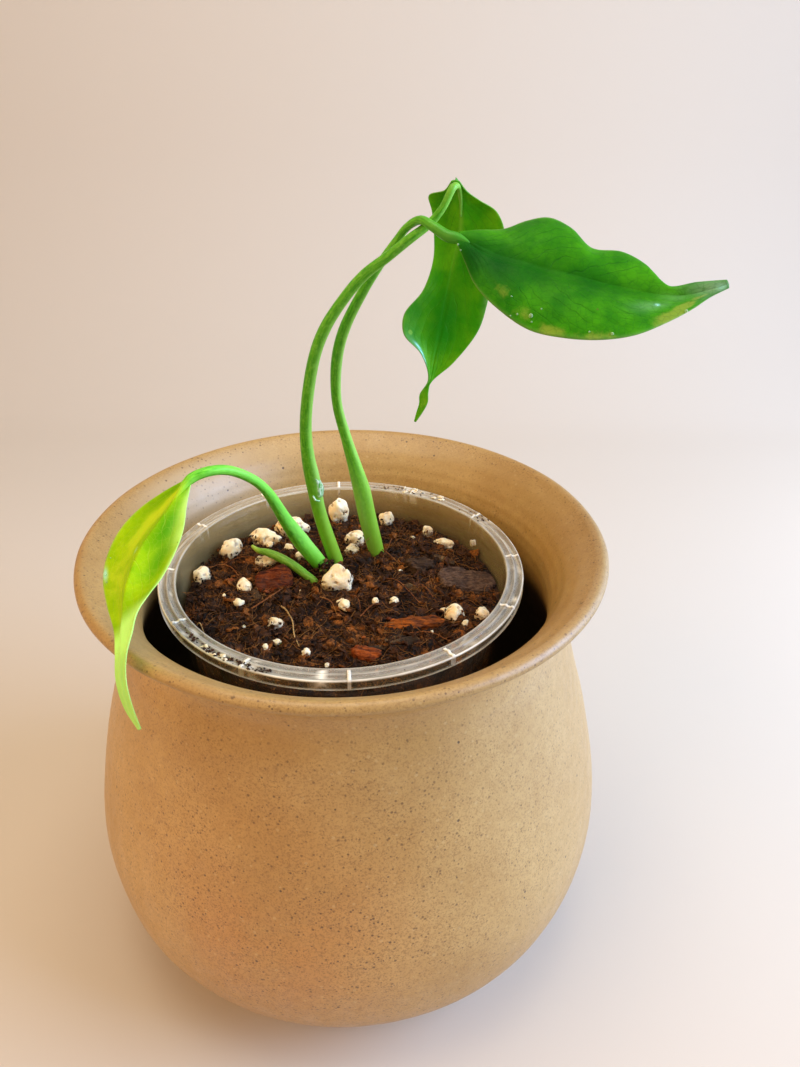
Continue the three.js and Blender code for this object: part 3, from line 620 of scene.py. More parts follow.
def stoneware_finish():
    """Ochre stoneware, stippled with brown, with darker iron specks, painted shade deep inside, at the foot
    and towards the lip, a painted reflection on the inner flare and a painted sheen on the right side.
    """
    f = Finish("speckled_stoneware")
    f.base(f.band(f.cloud(34, 4), 0.3, 0.72), "#be934e", "#cfa763")
    # Painted sheen: the right side is paler, as the window lights it
    f.over("#cdb48c", "pale_side", 0.25)
    f.over("#d08c42", "warm", f.band(f.cloud(26, 4), 0.3, 0.6, 0.4, 1), 0.6)
    # Painted shade at the foot: the low part is browner
    f.over("#a8722c", "low", 0.4)
    f.over("#9f7236", f.band(f.cloud(2.6, 4, roughness=0.65), 0.3, 0.7), 0.25)
    crowd = f.times("crowd", f.band(f.cloud(16, 4), 0.3, 0.62, 0.6, 1))
    f.over("#7d5222", crowd, 0.6, f.band(f.cloud(0.6, 3, roughness=0.75), 0.48, 0.62))
    f.over("#e2c890", f.specks(1.7, 0.5, 0.3), 0.22)
    # Painted shade: darker towards the lip and the flare
    f.over("#8c6a34", "flare", 0.35)
    # Painted reflection: a pale grey patch on the inner flare
    f.over("#c2a67e", "bloom", 0.9)
    f.over("#543618", crowd, 0.85, f.specks(1.1, 0.36, 0.7))
    bold = f.specks(3.4, 0.42, 0.34)
    f.over("#3a2515", bold, 0.8)
    # Painted shade deep inside, below the neck
    f.over("#1c1209", "deep")
    height = f.plus(f.times(f.cloud(0.9, 3), 0.6), f.times(bold, -0.5))
    roughness = f.band(f.cloud(5, 3), 0.3, 0.7, 0.42, 0.56)
    return f.done(Roughness=roughness, Normal=f.bump(height, 0.09), SpecularIORLevel=0.5, CoatWeight=0.4,
                  CoatRoughness=0.34)


def clear_plastic_finish():
    """Clear plastic that lets the mix through, milky along its length, with painted highlights along its
    moulded edges and ribs.
    """
    f = Finish("clear_plastic")
    centre = (-NEST_CENTRE[0] * MM, -NEST_CENTRE[1] * MM, 0)
    spot = f.vector("ADD", f.place(), centre)
    flat = f.vector("MULTIPLY", spot, (1, 1, 0))
    radius = f.node("VectorMath", {0: flat}, operation="LENGTH").outputs["Value"]
    height = f.node("SeparateXYZ", {0: spot}).outputs[2]
    turn = f.vector("NORMALIZE", flat)

    def drawn(turns, across):
        """Noise drawn out round the pot, with fine lines across it."""
        far = f.math("DIVIDE", f.plus(radius, height), across * MM)
        shift = f.node("CombineXYZ", {2: far}).outputs[0]
        wide = f.vector("MULTIPLY", turn, (turns, turns, turns))
        return f.noise(f.vector("ADD", wide, shift), 1.0, 4.0, 0.6)

    streak = f.band(drawn(6, 1.1), 0.35, 0.66)
    fine = f.band(drawn(14, 0.35), 0.55, 0.75)
    # The edge fact is painted highlight along the moulded edges and ribs, with painted glints; it also makes
    # the plastic more opaque there
    edge = f.fact("edge")
    dust = f.specks(1.9, 0.3, 0.14)
    f.base(streak, "#d0c6b0", "#e4dcc8")
    f.over("#bfa464", f.band(f.fact("sheer"), 0, 1, 0, 0.85))
    f.over("#fff6e0", f.math("MAXIMUM", edge, f.times(fine, 0.4)))
    f.over("#4a3626", dust)
    facing = f.node("LayerWeight").outputs["Facing"]
    film = f.plus(f.band(facing, 0.2, 1.0, 0.28, 0.5), f.times(streak, 0.08))
    film = f.times(f.plus(film, f.times(fine, 0.08)), f.band(f.fact("sheer"), 0, 2, 1, 0.1))
    film = f.math("MAXIMUM", f.plus(film, f.times(edge, 0.7)), f.times(dust, 0.8))
    roughness = f.band(f.cloud(4, 3), 0.3, 0.7, 0.18, 0.3)
    return f.done(Roughness=roughness, Alpha=film, Normal=f.bump(drawn(9, 0.8), 0.03), IOR=1.49,
                  SpecularIORLevel=0.5, CoatWeight=0.2, CoatRoughness=0.1)


def mix_finish(name, dark, mid, warm, fade=1.0):
    """Damp mix, chips or fibres: a tone for each bit, in dark and rusty clumps, with a fine grain."""
    f = Finish(name)
    clump = f.band(f.cloud(7, 4, roughness=0.65), 0.38, 0.62)
    tone = f.plus(f.times("tone", 0.66), f.times(clump, 0.4 * fade))
    f.base(f.band(tone, 0.12, 0.72), dark, mid)
    f.over(warm, f.band(tone, 0.74, 1.02))
    grain = f.cloud(0.45, 4, roughness=0.7)
    f.over("#0c0502", f.band(grain, 0.42, 0.64), 0.7 * fade)
    lit = f.band(f.cloud(0.4, 3, stretch=(1, 0.3, 1)), 0.57, 0.7)
    f.over("#c27a34", lit, clump, 0.6 * fade)
    roughness = f.band(f.cloud(2.5, 2), 0.35, 0.65, 0.55, 0.9)
    return f.done(Roughness=roughness, Normal=f.bump(grain, 0.35), SpecularIORLevel=0.2)


def perlite_finish():
    f = Finish("chalky_perlite")
    f.base(f.band(f.cloud(3.5, 3), 0.35, 0.7), "#fff0cc", "#ffd89c")
    dirt = f.band(f.cloud(1.2, 5, roughness=0.7), 0.58, 0.7)
    f.over("#6a3f1c", f.math("MAXIMUM", f.times(dirt, 0.2), f.fact("pit")))
    f.over("#3b2415", f.specks(1.5, 0.24, 0.1))
    return f.done(Roughness=0.9, Normal=f.bump(f.cloud(0.5, 4), 0.12), SpecularIORLevel=0.25,
                  **within(0.25, 1.2, 0.9, 0.6))


def bark_finish(name, dark, light, fibre_length=5):
    f = Finish(name)
    fibre = f.cloud(1.1, 5, stretch=(1 / fibre_length, 1.6, 1.2), roughness=0.7)
    f.base(f.band(fibre, 0.36, 0.64), dark, light)
    damp = f.band(f.cloud(4, 4), 0.46, 0.64)
    f.over("#1d0f07", damp, 0.5)
    return f.done(Roughness=f.band(damp, 0, 1, 0.9, 0.6), Normal=f.bump(fibre, 0.35), SpecularIORLevel=0.15)


def stalk_finish(name, green, pale, root, mottle_and_painted_sunlit, tip):
    """A stalk's skin, streaked along it, with a painted highlight on the side that faces the window, and ends
    in colours of their own.
    """
    f = Finish(name)
    place = f.fact("along")
    route = {0: f.fact("turn_x"), 1: f.fact("turn_y"), 2: f.times("length", 0.1)}
    streak = f.noise(f.node("CombineXYZ", route).outputs[0], 3.4, 4.0, 0.65)
    f.base(f.band(streak, 0.36, 0.66), green, pale)
    f.over(mottle_and_painted_sunlit, f.band(f.cloud(1.3, 4, roughness=0.7), 0.44, 0.7), 0.2)
    # Painted highlight: the side whose normal points to the window is paler
    facing = f.node("SeparateXYZ", {0: f.node("NewGeometry").outputs["Normal"]}).outputs[0]
    f.over(mottle_and_painted_sunlit, f.band(facing, 0.1, 0.95), 0.7)
    f.over(root, f.band(f.plus(place, f.wander(2, 3, 0.06)), 0.1, 0.36, 0.85, 0))
    f.over("#b8f07c", "sheath")
    f.over(tip, f.band(place, 0.88, 0.97))
    f.over("#4b5a1c", f.specks(2.6, 0.3, 0.12), 0.6)
    roughness = f.band(f.cloud(1.6, 2), 0.3, 0.7, 0.3, 0.42)
    return f.done(Roughness=roughness, Normal=f.bump(streak, 0.05), SpecularIORLevel=0.35,
                  SpecularTint=(0.7, 1, 0.65, 1), **within(0.12, 0.6, 1.4, 0.3))


def leaf_finish(name, deep, bright, shade, yellow, vein, under, veins=12, lines=0.55, net=0.1, gloss=0.36,
                shine=0.2):
    """A blade's colours by its length and width, with long curved side veins, a faint net between them, a
    painted sheen and painted highlights.
    """
    f = Finish(name)
    share = f.math("ABSOLUTE", f.fact("side"))
    bend = f.times(f.math("POWER", share, VEIN_CURVE), VEIN_SWEEP)
    count = f.times(f.plus(f.math("SUBTRACT", f.fact("along"), bend), f.wander(7, 2, 0.12)), float(veins))
    saw = f.math("ABSOLUTE", f.math("SUBTRACT", f.math("FRACT", count), 0.5))
    line = f.times(f.band(saw, 0.43, 0.5), f.band(share, 0.03, 0.15), f.band(share, 0.65, 0.98, 1, 0),
                   f.band(f.cloud(6, 2), 0.35, 0.6, 0.15, 1))
    finer = f.node("TexVoronoi", {"Vector": f.place(), "Scale": 1 / (1.9 * MM)}, feature="DISTANCE_TO_EDGE")
    mesh = f.band(finer.outputs["Distance"], 0.0, 0.07, 1, 0)
    f.base(f.band(f.cloud(8, 4), 0.32, 0.68), deep, bright)
    fleck = f.band(f.cloud(1.4, 4, roughness=0.65), 0.45, 0.75)
    f.over(shade, fleck, 0.22)
    f.over(shade, "dark")
    f.over(yellow, f.band(f.plus(f.fact("yellow"), f.wander(2.4, 4, 0.7)), 0.14, 0.5), 0.75)
    # Painted sheen: a soft pale reflection laid on the face
    f.over("#86b384", "bloom", f.band(fleck, 0, 1, 1, 0.6))
    f.over(vein, line, lines)
    f.over(vein, mesh, net)
    f.over(yellow, "rib")
    f.over(under, "under")
    f.over("#c9e58f", "rim")
    f.over("#4f6a1c", f.specks(5.5, 0.3, 0.16))
    # Painted highlights: small bright glints
    f.over("#b4fff4", "wet")
    height = f.plus(f.times(line, -0.5), f.times(mesh, -0.15))
    height = f.plus(height, f.times(f.cloud(0.8, 3), 0.3))
    roughness = f.band(f.cloud(3, 3), 0.3, 0.7, gloss, gloss + 0.12)
    return f.done(Roughness=roughness, Normal=f.bump(height, 0.1), SpecularIORLevel=shine,
                  SpecularTint=(0.35, 1, 0.3, 1), **within(0.08, 0.4, 1.0, 0.1))


def water_finish():
    """Clear drops, taken as a thin film with a hard gloss."""
    f = Finish("water", (0.75, 0.95, 0.6, 1))
    film = f.band(f.node("LayerWeight").outputs["Facing"], 0.1, 0.95, 0.25, 0.8)
    return f.done(Roughness=0.03, Alpha=film, SpecularIORLevel=0.7, CoatWeight=1.0, CoatRoughness=0.02,
                  Normal=f.bump(f.cloud(0.6, 1), 0.02))


# The two pots

def turned(profile, angles, relief=None, centre=(0, 0)):
    """A profile from axis to axis, turned through a list of angles. The relief raises points."""
    profile = np.asarray(profile, float)
    radii, heights = profile[1:-1, 0][:, None], profile[1:-1, 1][:, None]
    lift = np.zeros((len(radii), len(angles))) if relief is None else relief(radii, heights)
    x, y = centre
    rings = np.stack([x + radii * np.cos(angles), y + radii * np.sin(angles), heights + lift], -1)
    return closed_rings(rings, [x, y, profile[0, 1]], [x, y, profile[-1, 1]])


def stoneware_pot():
    outside = smooth_line(POT_OUTSIDE, 120)
    lip = smooth_line(POT_LIP, 16)[1:]
    inside = smooth_line(POT_INSIDE, 100)[1:]
    foot, floor = [[0, 0], [30, 0], [POT_FOOT_RADIUS - 1.5, 0]], [[25, POT_FLOOR], [0, POT_FLOOR]]
    points, faces = turned(np.vstack([foot, outside, lip, inside, floor]), around(POT_SIDES))
    height, radius = points[:, 2], np.hypot(points[:, 0], points[:, 1])
    turn = np.arctan2(points[:, 1], points[:, 0])
    throwing = np.sin(height * THROWING_RINGS + turn) * 0.05
    dents = rough(points, 22, 3) * 0.16
    wall = ease(2, 12, height) * (radius > 1)
    points[:, :2] *= (1 + wall * (throwing + dents) / np.maximum(radius, 1))[:, None]

    def about(degrees, half):
        """1 at a turn, and less away from it."""
        return bell(np.degrees(apart(turn, math.radians(degrees))) / half)

    # The front is the warmest and the most speckled, next to the lip's crest. The right side is paler, a
    # painted sheen, and the foot browner, painted shade. A painted grey reflection lies on the flare, behind
    # the yellow-green leaf.
    inward = np.arange(len(points)) >= POT_SIDES * (len(foot) + len(outside) + len(lip) - 1)
    crowd = 0.45 + 0.55 * about(SPECKLED_TURN, 48) * bell((height - 72) / 46)
    bloom = about(PAINTED_SHEEN_TURN, 24) * ease(122, 127, height) * ease(73, 69, radius) * ease(59.5, 61, radius)
    facts = {
        "bloom": bloom,
        # Painted shade deep inside
        "deep": 0.9 * ease(119, 105, height) * inward,
        # Painted shade towards the lip and the flare
        "flare": ease(125, 133, height),
        "crowd": np.maximum(crowd, 0.9 * bell((height - 139) / 2)),
        "warm": about(WARM_TURN, 26) * bell((height - 62) / 32),
        "pale_side": about(WINDOW_SHEEN_TURN, 34) * ~inward,
        # Painted shade at the foot
        "low": ease(62, 12, height) * ~inward,
    }
    make_piece("stoneware_pot", points, faces, stoneware_finish(), ["outer_pot"], facts)


def nest_inside(height):
    """The clear pot's inner radius at a height."""
    low = NEST_FOOT + NEST_WALL
    share = (height - low) / (NEST_TOP - low)
    return NEST_BASE_RADIUS + (NEST_MOUTH_RADIUS - NEST_BASE_RADIUS) * share


def clear_pot():
    top, low, wide = NEST_TOP, NEST_FOOT + NEST_WALL, FLANGE_RADIUS
    wall = [[nest_inside(h) + NEST_WALL, h, 0, 1] for h in np.linspace(NEST_FOOT + 2, top - NEST_WALL, 30)]
    flange = [[wide + out, top + up, pale, sheer] for out, up, pale, sheer in FLANGE]
    inner = [[nest_inside(h), h, 0, 1] for h in np.linspace(top - 1.2, NEST_FOOT + 2, 40)]
    profile = np.array([[0, NEST_FOOT, 0, 1], [NEST_BASE_RADIUS, NEST_FOOT, 0, 1], *wall, *flange, *inner,
                        [NEST_BASE_RADIUS - 1, low, 0, 1], [0, low, 0, 1]], float)
    ribs = np.radians(FIRST_RIB + np.arange(FLANGE_RIBS) * 360 / FLANGE_RIBS)

    def from_rib(turns):
        return apart(turns[:, None], ribs).min(1)

    # The turns are even, and closer across each rib
    close = (ribs[:, None] + np.radians([-0.9, -0.62, -0.5, -0.38, 0, 0.38, 0.5, 0.62, 0.9])).ravel()
    even = around(180)
    angles = np.sort(np.concatenate([even[from_rib(even) > 0.02], close % (2 * math.pi)]))
    half_rib = math.radians(0.5)
    bar = ease(half_rib * 1.25, half_rib * 0.8, from_rib(angles))[None, :]

    def rib_relief(radii, heights):
        reach = ease(48.7, 49.1, radii) * ease(wide - 0.1, wide - 0.6, radii) * (heights > top - 0.8)
        return RIB_HEIGHT * bar * reach

    points, faces = turned(profile[:, :2], angles, rib_relief, NEST_CENTRE)
    radii, heights, pale, sheer = (profile[1:-1, k][:, None] for k in range(4))
    shape = (len(radii), len(angles))
    # Painted highlight along the moulded edges and ribs, patchy along its length, with painted glints on the
    # rim
    highlight_patchiness = 0.6 + 0.4 * np.clip(rough(points[:-2], 9, 2, 2).reshape(shape) + 0.4, 0, 1)
    rim = (radii > 48.8) * (heights > top - SKIRT - 0.1)
    edge = np.maximum(pale * highlight_patchiness, bar * rim * np.where(heights > top - 0.5, 0.85, 0.55))
    ragged = ease(-0.1, 0.25, rough(points[:-2], 1.6, 8, 2).reshape(shape))
    # Painted glints on the flange's rim
    for degrees, half, strength in GLINTS:
        glint = bell(np.degrees(apart(angles, math.radians(degrees))) / half)
        edge = np.maximum(edge, strength * glint[None, :] ** 2 * rim * ragged)
    # The wall is sheerest towards the front, where only the dark gap lies behind it
    sheer = sheer + ease(0.1, -0.3, np.sin(angles))[None, :] * (sheer == 1)
    facts = {"edge": np.append(edge.ravel(), [0, 0]), "sheer": np.append(sheer.ravel(), [2, 2])}
    make_piece("clear_pot", points, faces, clear_plastic_finish(), ["nursery_pot"], facts)


# The mix

def disc_grid(cells, radius):
    """A square of cells bent into a disc, so that the cells stay even from the middle to the wall."""
    line = np.linspace(-1, 1, cells + 1)
    u, v = np.meshgrid(line, line)
    swap = np.abs(u) <= np.abs(v)
    long, short = np.where(swap, v, u), np.where(swap, u, v)
    angle = math.pi / 4 * short / np.where(long == 0, 1, long)
    a, b = long * np.cos(angle), long * np.sin(angle)
    x, y = np.where(swap, b, a), np.where(swap, a, b)
    return np.stack([NEST_CENTRE[0] + radius * x, NEST_CENTRE[1] + radius * y], -1)


def mix_height(places):
    """How high the lumpy top of the mix stands at places given as x and y."""
    flat = places.reshape(-1, 2)
    points = np.column_stack([flat, np.zeros(len(flat))])
    height = MIX_TOP - 0.2 + 0.9 * rough(points, 16, 2.5) + 1.2 * rough(points, 6.5, 7.3, 2)
    height += 1.2 * np.abs(rough(points, 2.6, 11.1, 3)) + 0.3 * rough(points, 0.9, 4.2, 2)
    return height.reshape(places.shape[:-1])


def mix_plug():
    radius = nest_inside(MIX_TOP) - MIX_GAP
    over = disc_grid(MIX_CELLS, radius)
    rim = np.hypot(over[..., 0] - NEST_CENTRE[0], over[..., 1] - NEST_CENTRE[1]) / radius
    height = mix_height(over)
    height = height + (MIX_TOP - 0.4 - height) * rim ** 24
    bottom = NEST_FOOT + NEST_WALL + MIX_GAP
    low = NEST_CENTRE + (over - NEST_CENTRE) * ((nest_inside(bottom) - 0.5) / radius)
    top = np.concatenate([over, height[..., None]], -1)
    base = np.concatenate([low, np.full_like(height, bottom)[..., None]], -1)
    points, faces = closed_sheet(top, base)
    tone = (0.45 + 0.5 * rough(points, 3.5, 5, 3)) * ease(110, 119, points[:, 2])
    finish = mix_finish("damp_mix", "#0f0603", "#3c210c", "#774213")
    make_piece("mix_plug", points, faces, finish, ["soil"], {"tone": tone})


def bit_shapes(label, make, count):
    """A collection of like shapes to scatter. It is removed once they are scattered."""
    group = bpy.data.collections.new(label)
    for i in range(count):
        mesh = plain_mesh(f"{label}_{i}", *make(i))
        group.objects.link(bpy.data.objects.new(mesh.name, mesh))
    return group


def rounded(seed, cuts, relief, size):
    """A small lump, one unit across, of a sphere with swells on it."""
    shape = bmesh.new()
    bmesh.ops.create_icosphere(shape, subdivisions=cuts, radius=0.5)
    points = np.array([v.co for v in shape.verts])
    faces = [tuple(v.index for v in f.verts) for f in shape.faces]
    shape.free()
    return points * (1 + relief * rough(points, size, seed + 1, 2))[:, None], faces


def crumb(seed):
    """A small angular clod of mix."""
    points, faces = rounded(seed, 1, 0.5, 0.6)
    return points * [1, 0.8, 0.7], faces


def grain(seed):
    """A small white grain of perlite, knobbly and a little flat."""
    points, faces = rounded(seed, 3, 0.42, 0.45)
    return points * [1, 0.85, 0.75], faces


def drop(seed):
    return rounded(seed, 3, 0.12, 0.8)


def flake(seed):
    """A torn chip of bark, one unit long, thin, with ragged ends."""
    rng = np.random.default_rng(seed + 40)
    wide = 0.18 + 0.2 * rng.random()
    rows = []
    for x in np.linspace(-0.5, 0.5, 5):
        half = wide * (1 - 1.6 * abs(x) ** 2.2) * (0.8 + 0.4 * rng.random())
        arch = 0.14 * (1 - 4 * x * x) * rng.choice([-1, 1]) * 0.5
        rows.append([
            [x + 0.05 * rng.normal(), side * half, arch + 0.04 * rng.normal()] for side in (-1, 0.1, 1)
        ])
    over = np.array(rows)
    return closed_sheet(over, over - [0, 0, 0.13])


def fibre(seed):
    """A root or coir hair, one unit long, bent at random."""
    rng = np.random.default_rng(seed + 90)
    line = np.cumsum(rng.normal(0, 1, (6, 3)) * [0.3, 0.6, 0.22] + [1, 0, 0], 0)
    line -= line.mean(0)
    line /= np.linalg.norm(line[-1] - line[0])
    return tube(smooth_line(line, 8), 0.018 * (1 - 0.6 * np.linspace(0, 1, 8)), 3)[:2]


def frames_along(line):
    """Headings and two crosswise directions at each point of a line, with no twist between them."""
    heading = unit(np.gradient(line, axis=0))
    start = np.eye(3)[np.argmin(np.abs(heading[0]))]
    normal = [unit(start - heading[0] * (start @ heading[0]))]
    for here in heading[1:]:
        normal.append(unit(normal[-1] - here * (normal[-1] @ here)))
    normal = np.array(normal)
    return heading, normal, np.cross(heading, normal)


def tube(line, radii, sides, swell=None):
    """A closed tube along a line. The swell adds to the radius by the outward direction."""
    heading, normal, across = frames_along(line)
    turn = around(sides)
    out = normal[:, None] * np.cos(turn)[None, :, None] + across[:, None] * np.sin(turn)[None, :, None]
    radius = np.repeat(np.asarray(radii, float)[:, None], sides, 1)
    if swell:
        radius = radius + swell(out)
    start, end = line[0] - heading[0] * radii[0] * 0.5, line[-1] + heading[-1] * radii[-1] * 0.5
    points, faces = closed_rings(line[:, None] + out * radius[..., None], start, end)
    return points, faces, out


def scatter_tree():
    """Bits from a collection, strewn over a surface with a seeded draw of place, turn, size and tone."""
    tree = bpy.data.node_groups.new("strewn_bits", "GeometryNodeTree")
    kinds = {
        "Surface": "Geometry", "Bits": "Collection", "Density": "Float", "Smallest": "Float",
        "Largest": "Float", "Tilt": "Float", "Lift": "Float", "Seed": "Int", "Finish": "Material",
    }
    for label, kind in kinds.items():
        tree.interface.new_socket(label, in_out="INPUT", socket_type="NodeSocket" + kind)
    tree.interface.new_socket("Strewn", in_out="OUTPUT", socket_type="NodeSocketGeometry")

    def node(kind, inputs=None, **settings):
        return add_node(tree, kind, inputs, **settings).outputs

    given = node("NodeGroupInput")
    seed, tilt = given["Seed"], given["Tilt"]
    room = node("GeometryNodeInputNamedAttribute", {"Name": "room"}, data_type="FLOAT")["Attribute"]
    density = node("ShaderNodeMath", {0: given["Density"], 1: room}, operation="MULTIPLY")[0]
    places = {"Mesh": given["Surface"], "Density": density, "Seed": seed}
    strewn = node("GeometryNodeDistributePointsOnFaces", places, distribute_method="RANDOM")["Points"]
    lean = node("ShaderNodeMath", {0: tilt, 1: -1.0}, operation="MULTIPLY")[0]
    low = node("ShaderNodeCombineXYZ", {0: lean, 1: lean, 2: 0.0})[0]
    high = node("ShaderNodeCombineXYZ", {0: tilt, 1: tilt, 2: 2 * math.pi})[0]
    turn = node("FunctionNodeRandomValue", {0: low, 1: high, "Seed": seed}, data_type="FLOAT_VECTOR")[0]
    sizes = {2: given["Smallest"], 3: given["Largest"], "Seed": seed}
    size = node("FunctionNodeRandomValue", sizes, data_type="FLOAT")[1]
    tone = node("FunctionNodeRandomValue", {"Seed": seed}, data_type="FLOAT")[1]
    rise = node("ShaderNodeCombineXYZ", {2: given["Lift"]})[0]
    placed = node("GeometryNodeInstanceOnPoints", {
        "Points": node("GeometryNodeSetPosition", {"Geometry": strewn, "Offset": rise})[0],
        "Instance": node("GeometryNodeCollectionInfo", {
            "Collection": given["Bits"], "Separate Children": True, "Reset Children": True})[0],
        "Pick Instance": True, "Rotation": turn, "Scale": size,
    })[0]
    stored = node("GeometryNodeStoreNamedAttribute", {"Geometry": placed, "Name": "tone", "Value": tone},
                  data_type="FLOAT", domain="INSTANCE")[0]
    real = node("GeometryNodeRealizeInstances", {"Geometry": stored})[0]
    dressed = node("GeometryNodeSetMaterial", {"Geometry": real, "Material": given["Finish"]})[0]
    node("NodeGroupOutput", {"Strewn": dressed})
    return tree


def strew(name, tree, surface, values, flat):
    """Runs the scatter tree over a copy of the surface, and keeps its result as a plain piece."""
    carrier = shown_object(name + "_carrier", surface)
    modifier = carrier.modifiers.new("strewn", "NODES")
    modifier.node_group = tree
    for item in tree.interface.items_tree:
        if item.in_out == "INPUT" and item.name in values:
            modifier[item.identifier] = values[item.name]
    bpy.context.view_layer.update()
    graph = bpy.context.evaluated_depsgraph_get()
    mesh = bpy.data.meshes.new_from_object(carrier.evaluated_get(graph), preserve_all_data_layers=True,
                                           depsgraph=graph)
    bpy.data.objects.remove(carrier)
    mesh.name = name
    settle(name, mesh, flat=flat)


def strewing_surface():
    """The mix's top inside the wall, with a share of room at each point, less where the lumps stand."""
    places = disc_grid(60, nest_inside(MIX_TOP) - 1.6)
    points = np.concatenate([places, mix_height(places)[..., None]], -1).reshape(-1, 3)
    mesh = plain_mesh("mix_top", points * MM, grid_faces(*places.shape[:2]))
    room = np.ones(len(points))
    for node in [*PERLITE_NODES, *BARK_NODES]:
        low, high = node_box(node)
        middle, reach = (low + high) / 2, (high - low) / 2
        away = np.hypot((points[:, 0] - middle[0]) / reach[0], (points[:, 1] - middle[1]) / reach[1])
        room *= 0.12 + 0.88 * ease(0.75, 1.1, away)
    add_fact(mesh, "room", room)
    return mesh


def mix_bits():
    tree = scatter_tree()
    surface = strewing_surface()
    crumbs, flakes, hairs = (bit_shapes(*kind) for kind in (
        ("clod", crumb, 6), ("chip", flake, 7), ("hair", fibre, 9)))
    brown = mix_finish("mix_crumb", *CRUMB_BROWNS)
    chips = mix_finish("mix_chip", "#180b04", "#4f2b0f", "#a25c20")
    hair = mix_finish("coir_hair", "#5a3214", "#96602a", "#d8a35c", 0.4)
    # Name, shapes, how many on a square metre, sizes and lift in millimetres, tilt, seed and skin
    for name, bits, density, least, most, lift, tilt, seed, finish in (
        ("mix_crumbs", crumbs, 900000.0, 0.4, 1.5, 0.1, 3.1, 3, brown),
        ("mix_clods", crumbs, 30000.0, 1.6, 4.4, 0.0, 3.1, 17, brown),
        ("mix_chips", flakes, 150000.0, 1.0, 4.4, 0.2, 1.0, 8, chips),
        ("coir_hairs", hairs, 300000.0, 1.4, 7, 0.6, 0.5, 5, hair),
    ):
        values = {"Bits": bits, "Density": density, "Smallest": least * MM, "Largest": most * MM,
                  "Lift": lift * MM, "Tilt": tilt, "Seed": seed, "Finish": finish}
        strew(name, tree, surface, values, bits is not hairs)
    for group in (crumbs, flakes, hairs):
        for item in list(group.objects):
            bpy.data.objects.remove(item)
        bpy.data.collections.remove(group)
    bpy.data.meshes.remove(surface)


def gather(name, bits, finish, flat=False):
    """One piece of many bits, each with its points, its faces and its tone."""
    points, faces, tones, count = [], [], [], 0
    for shape, sides, tone in bits:
        points.append(shape)
        faces += [tuple(count + v for v in side) for side in sides]
        tones.append(np.full(len(shape), tone))
        count += len(shape)
    tones = np.concatenate(tones)
    facts = {"tone": tones, "pit": tones * 0}
    make_piece(name, np.vstack(points), faces, finish, facts=facts, flat=flat)


def turned_to(shape, turns, place):
    """A bit's points, turned and put in their place."""
    return shape @ np.array(Euler(turns).to_matrix()).T + place


def heap(name, make, places, finish, seed=1, stretch=(1, 1, 1), tilt=math.pi, flat=True):
    """One piece of small bits. Each has its place and size in millimetres, and lies turned at random."""
    draw = np.random.default_rng(seed)
    bits = []
    for k, (x, y, z, size) in enumerate(places):
        shape, sides = make(k % HEAP_SHAPES)
        turns = [draw.uniform(-most, most) for most in (tilt, tilt, math.pi)]
        bits.append((turned_to(shape * stretch * size, turns, [x, y, z]), sides, draw.uniform(0.1, 1)))
    gather(name, bits, finish, flat)


def on_mix(x, y, lift=0.0):
    """A place on top of the mix."""
    return [x, y, float(mix_height(np.array([[x, y]]))[0]) + lift]


def on_flange(draw, spills, lift, least, most):
    """Places and sizes of bits on the clear pot's flange, drawn between turns and radii."""
    bits = []
    for low, high, inner, outer, count in spills:
        for _ in range(count):
            turn, radius = math.radians(draw.uniform(low, high)), draw.uniform(inner, outer)
            place = NEST_CENTRE + [radius * math.cos(turn), radius * math.sin(turn)]
            bits.append([*place, NEST_TOP + lift, draw.uniform(least, most)])
    return bits


def loose_bits(white):
    draw = np.random.default_rng(21)
    heap("white_grains", grain, [[*on_mix(x, y, size * 0.2), size] for x, y, size in WHITE_GRAINS],
         white, 4, tilt=0.6, flat=False)
    orange = mix_finish("orange_chip_skin", "#6a2f12", "#a04d1c", "#c2662a")
    heap("orange_chips", crumb, [[*on_mix(x, y, 0.6), size] for x, y, size in ORANGE_CHIPS],
         orange, 5, (1, 0.8, 0.5), 0.4)
    splinters()
    dirt = mix_finish("spilt_mix", "#1c0e08", "#4a2c18", "#7a4a26")
    spilt = on_flange(draw, SPILLS, 0.05, 0.35, 1.1)
    heap("spilt_crumbs", crumb, spilt, dirt, 6, (1, 0.8, 0.5), 0.5)
    x, y, z = CROWN_FOOT
    foot = [[x + draw.normal() * 1.5, y + draw.normal() * 1.6, z + abs(draw.normal()) * 1.4,
             draw.uniform(0.5, 1.4)] for _ in range(CROWN_CRUMBS)]
    heap("crumbs_at_the_crown", crumb, foot, dirt, 7)
    by_wall = []
    for degrees in np.linspace(*CRUMBS_BY_WALL):
        turn, reach = math.radians(degrees), draw.uniform(41.5, 46)
        x, y = NEST_CENTRE + reach * np.array([math.cos(turn), math.sin(turn)])
        by_wall.append([*on_mix(x, y, draw.uniform(0, 2)), draw.uniform(0.6, 2)])
    brown = mix_finish("wall_crumb", *CRUMB_BROWNS)
    heap("crumbs_by_the_wall", crumb, by_wall, brown, 10, (1, 0.6, 0.5))
    flecks = on_flange(draw, PALE_SPILLS, 0.12, 0.8, 2.2)
    heap("pale_flakes", flake, flecks, white, 8, (1, 0.8, 0.8), 0.15, flat=False)
    pale = mix_finish("pale_hair", "#c29252", "#dcb273", "#efd09a")
    red = mix_finish("red_root", "#6b3a1a", "#96562a", "#c0823f")
    long_hairs("pale_hairs", PALE_HAIRS, pale)
    long_hairs("red_roots", RED_ROOTS, red)


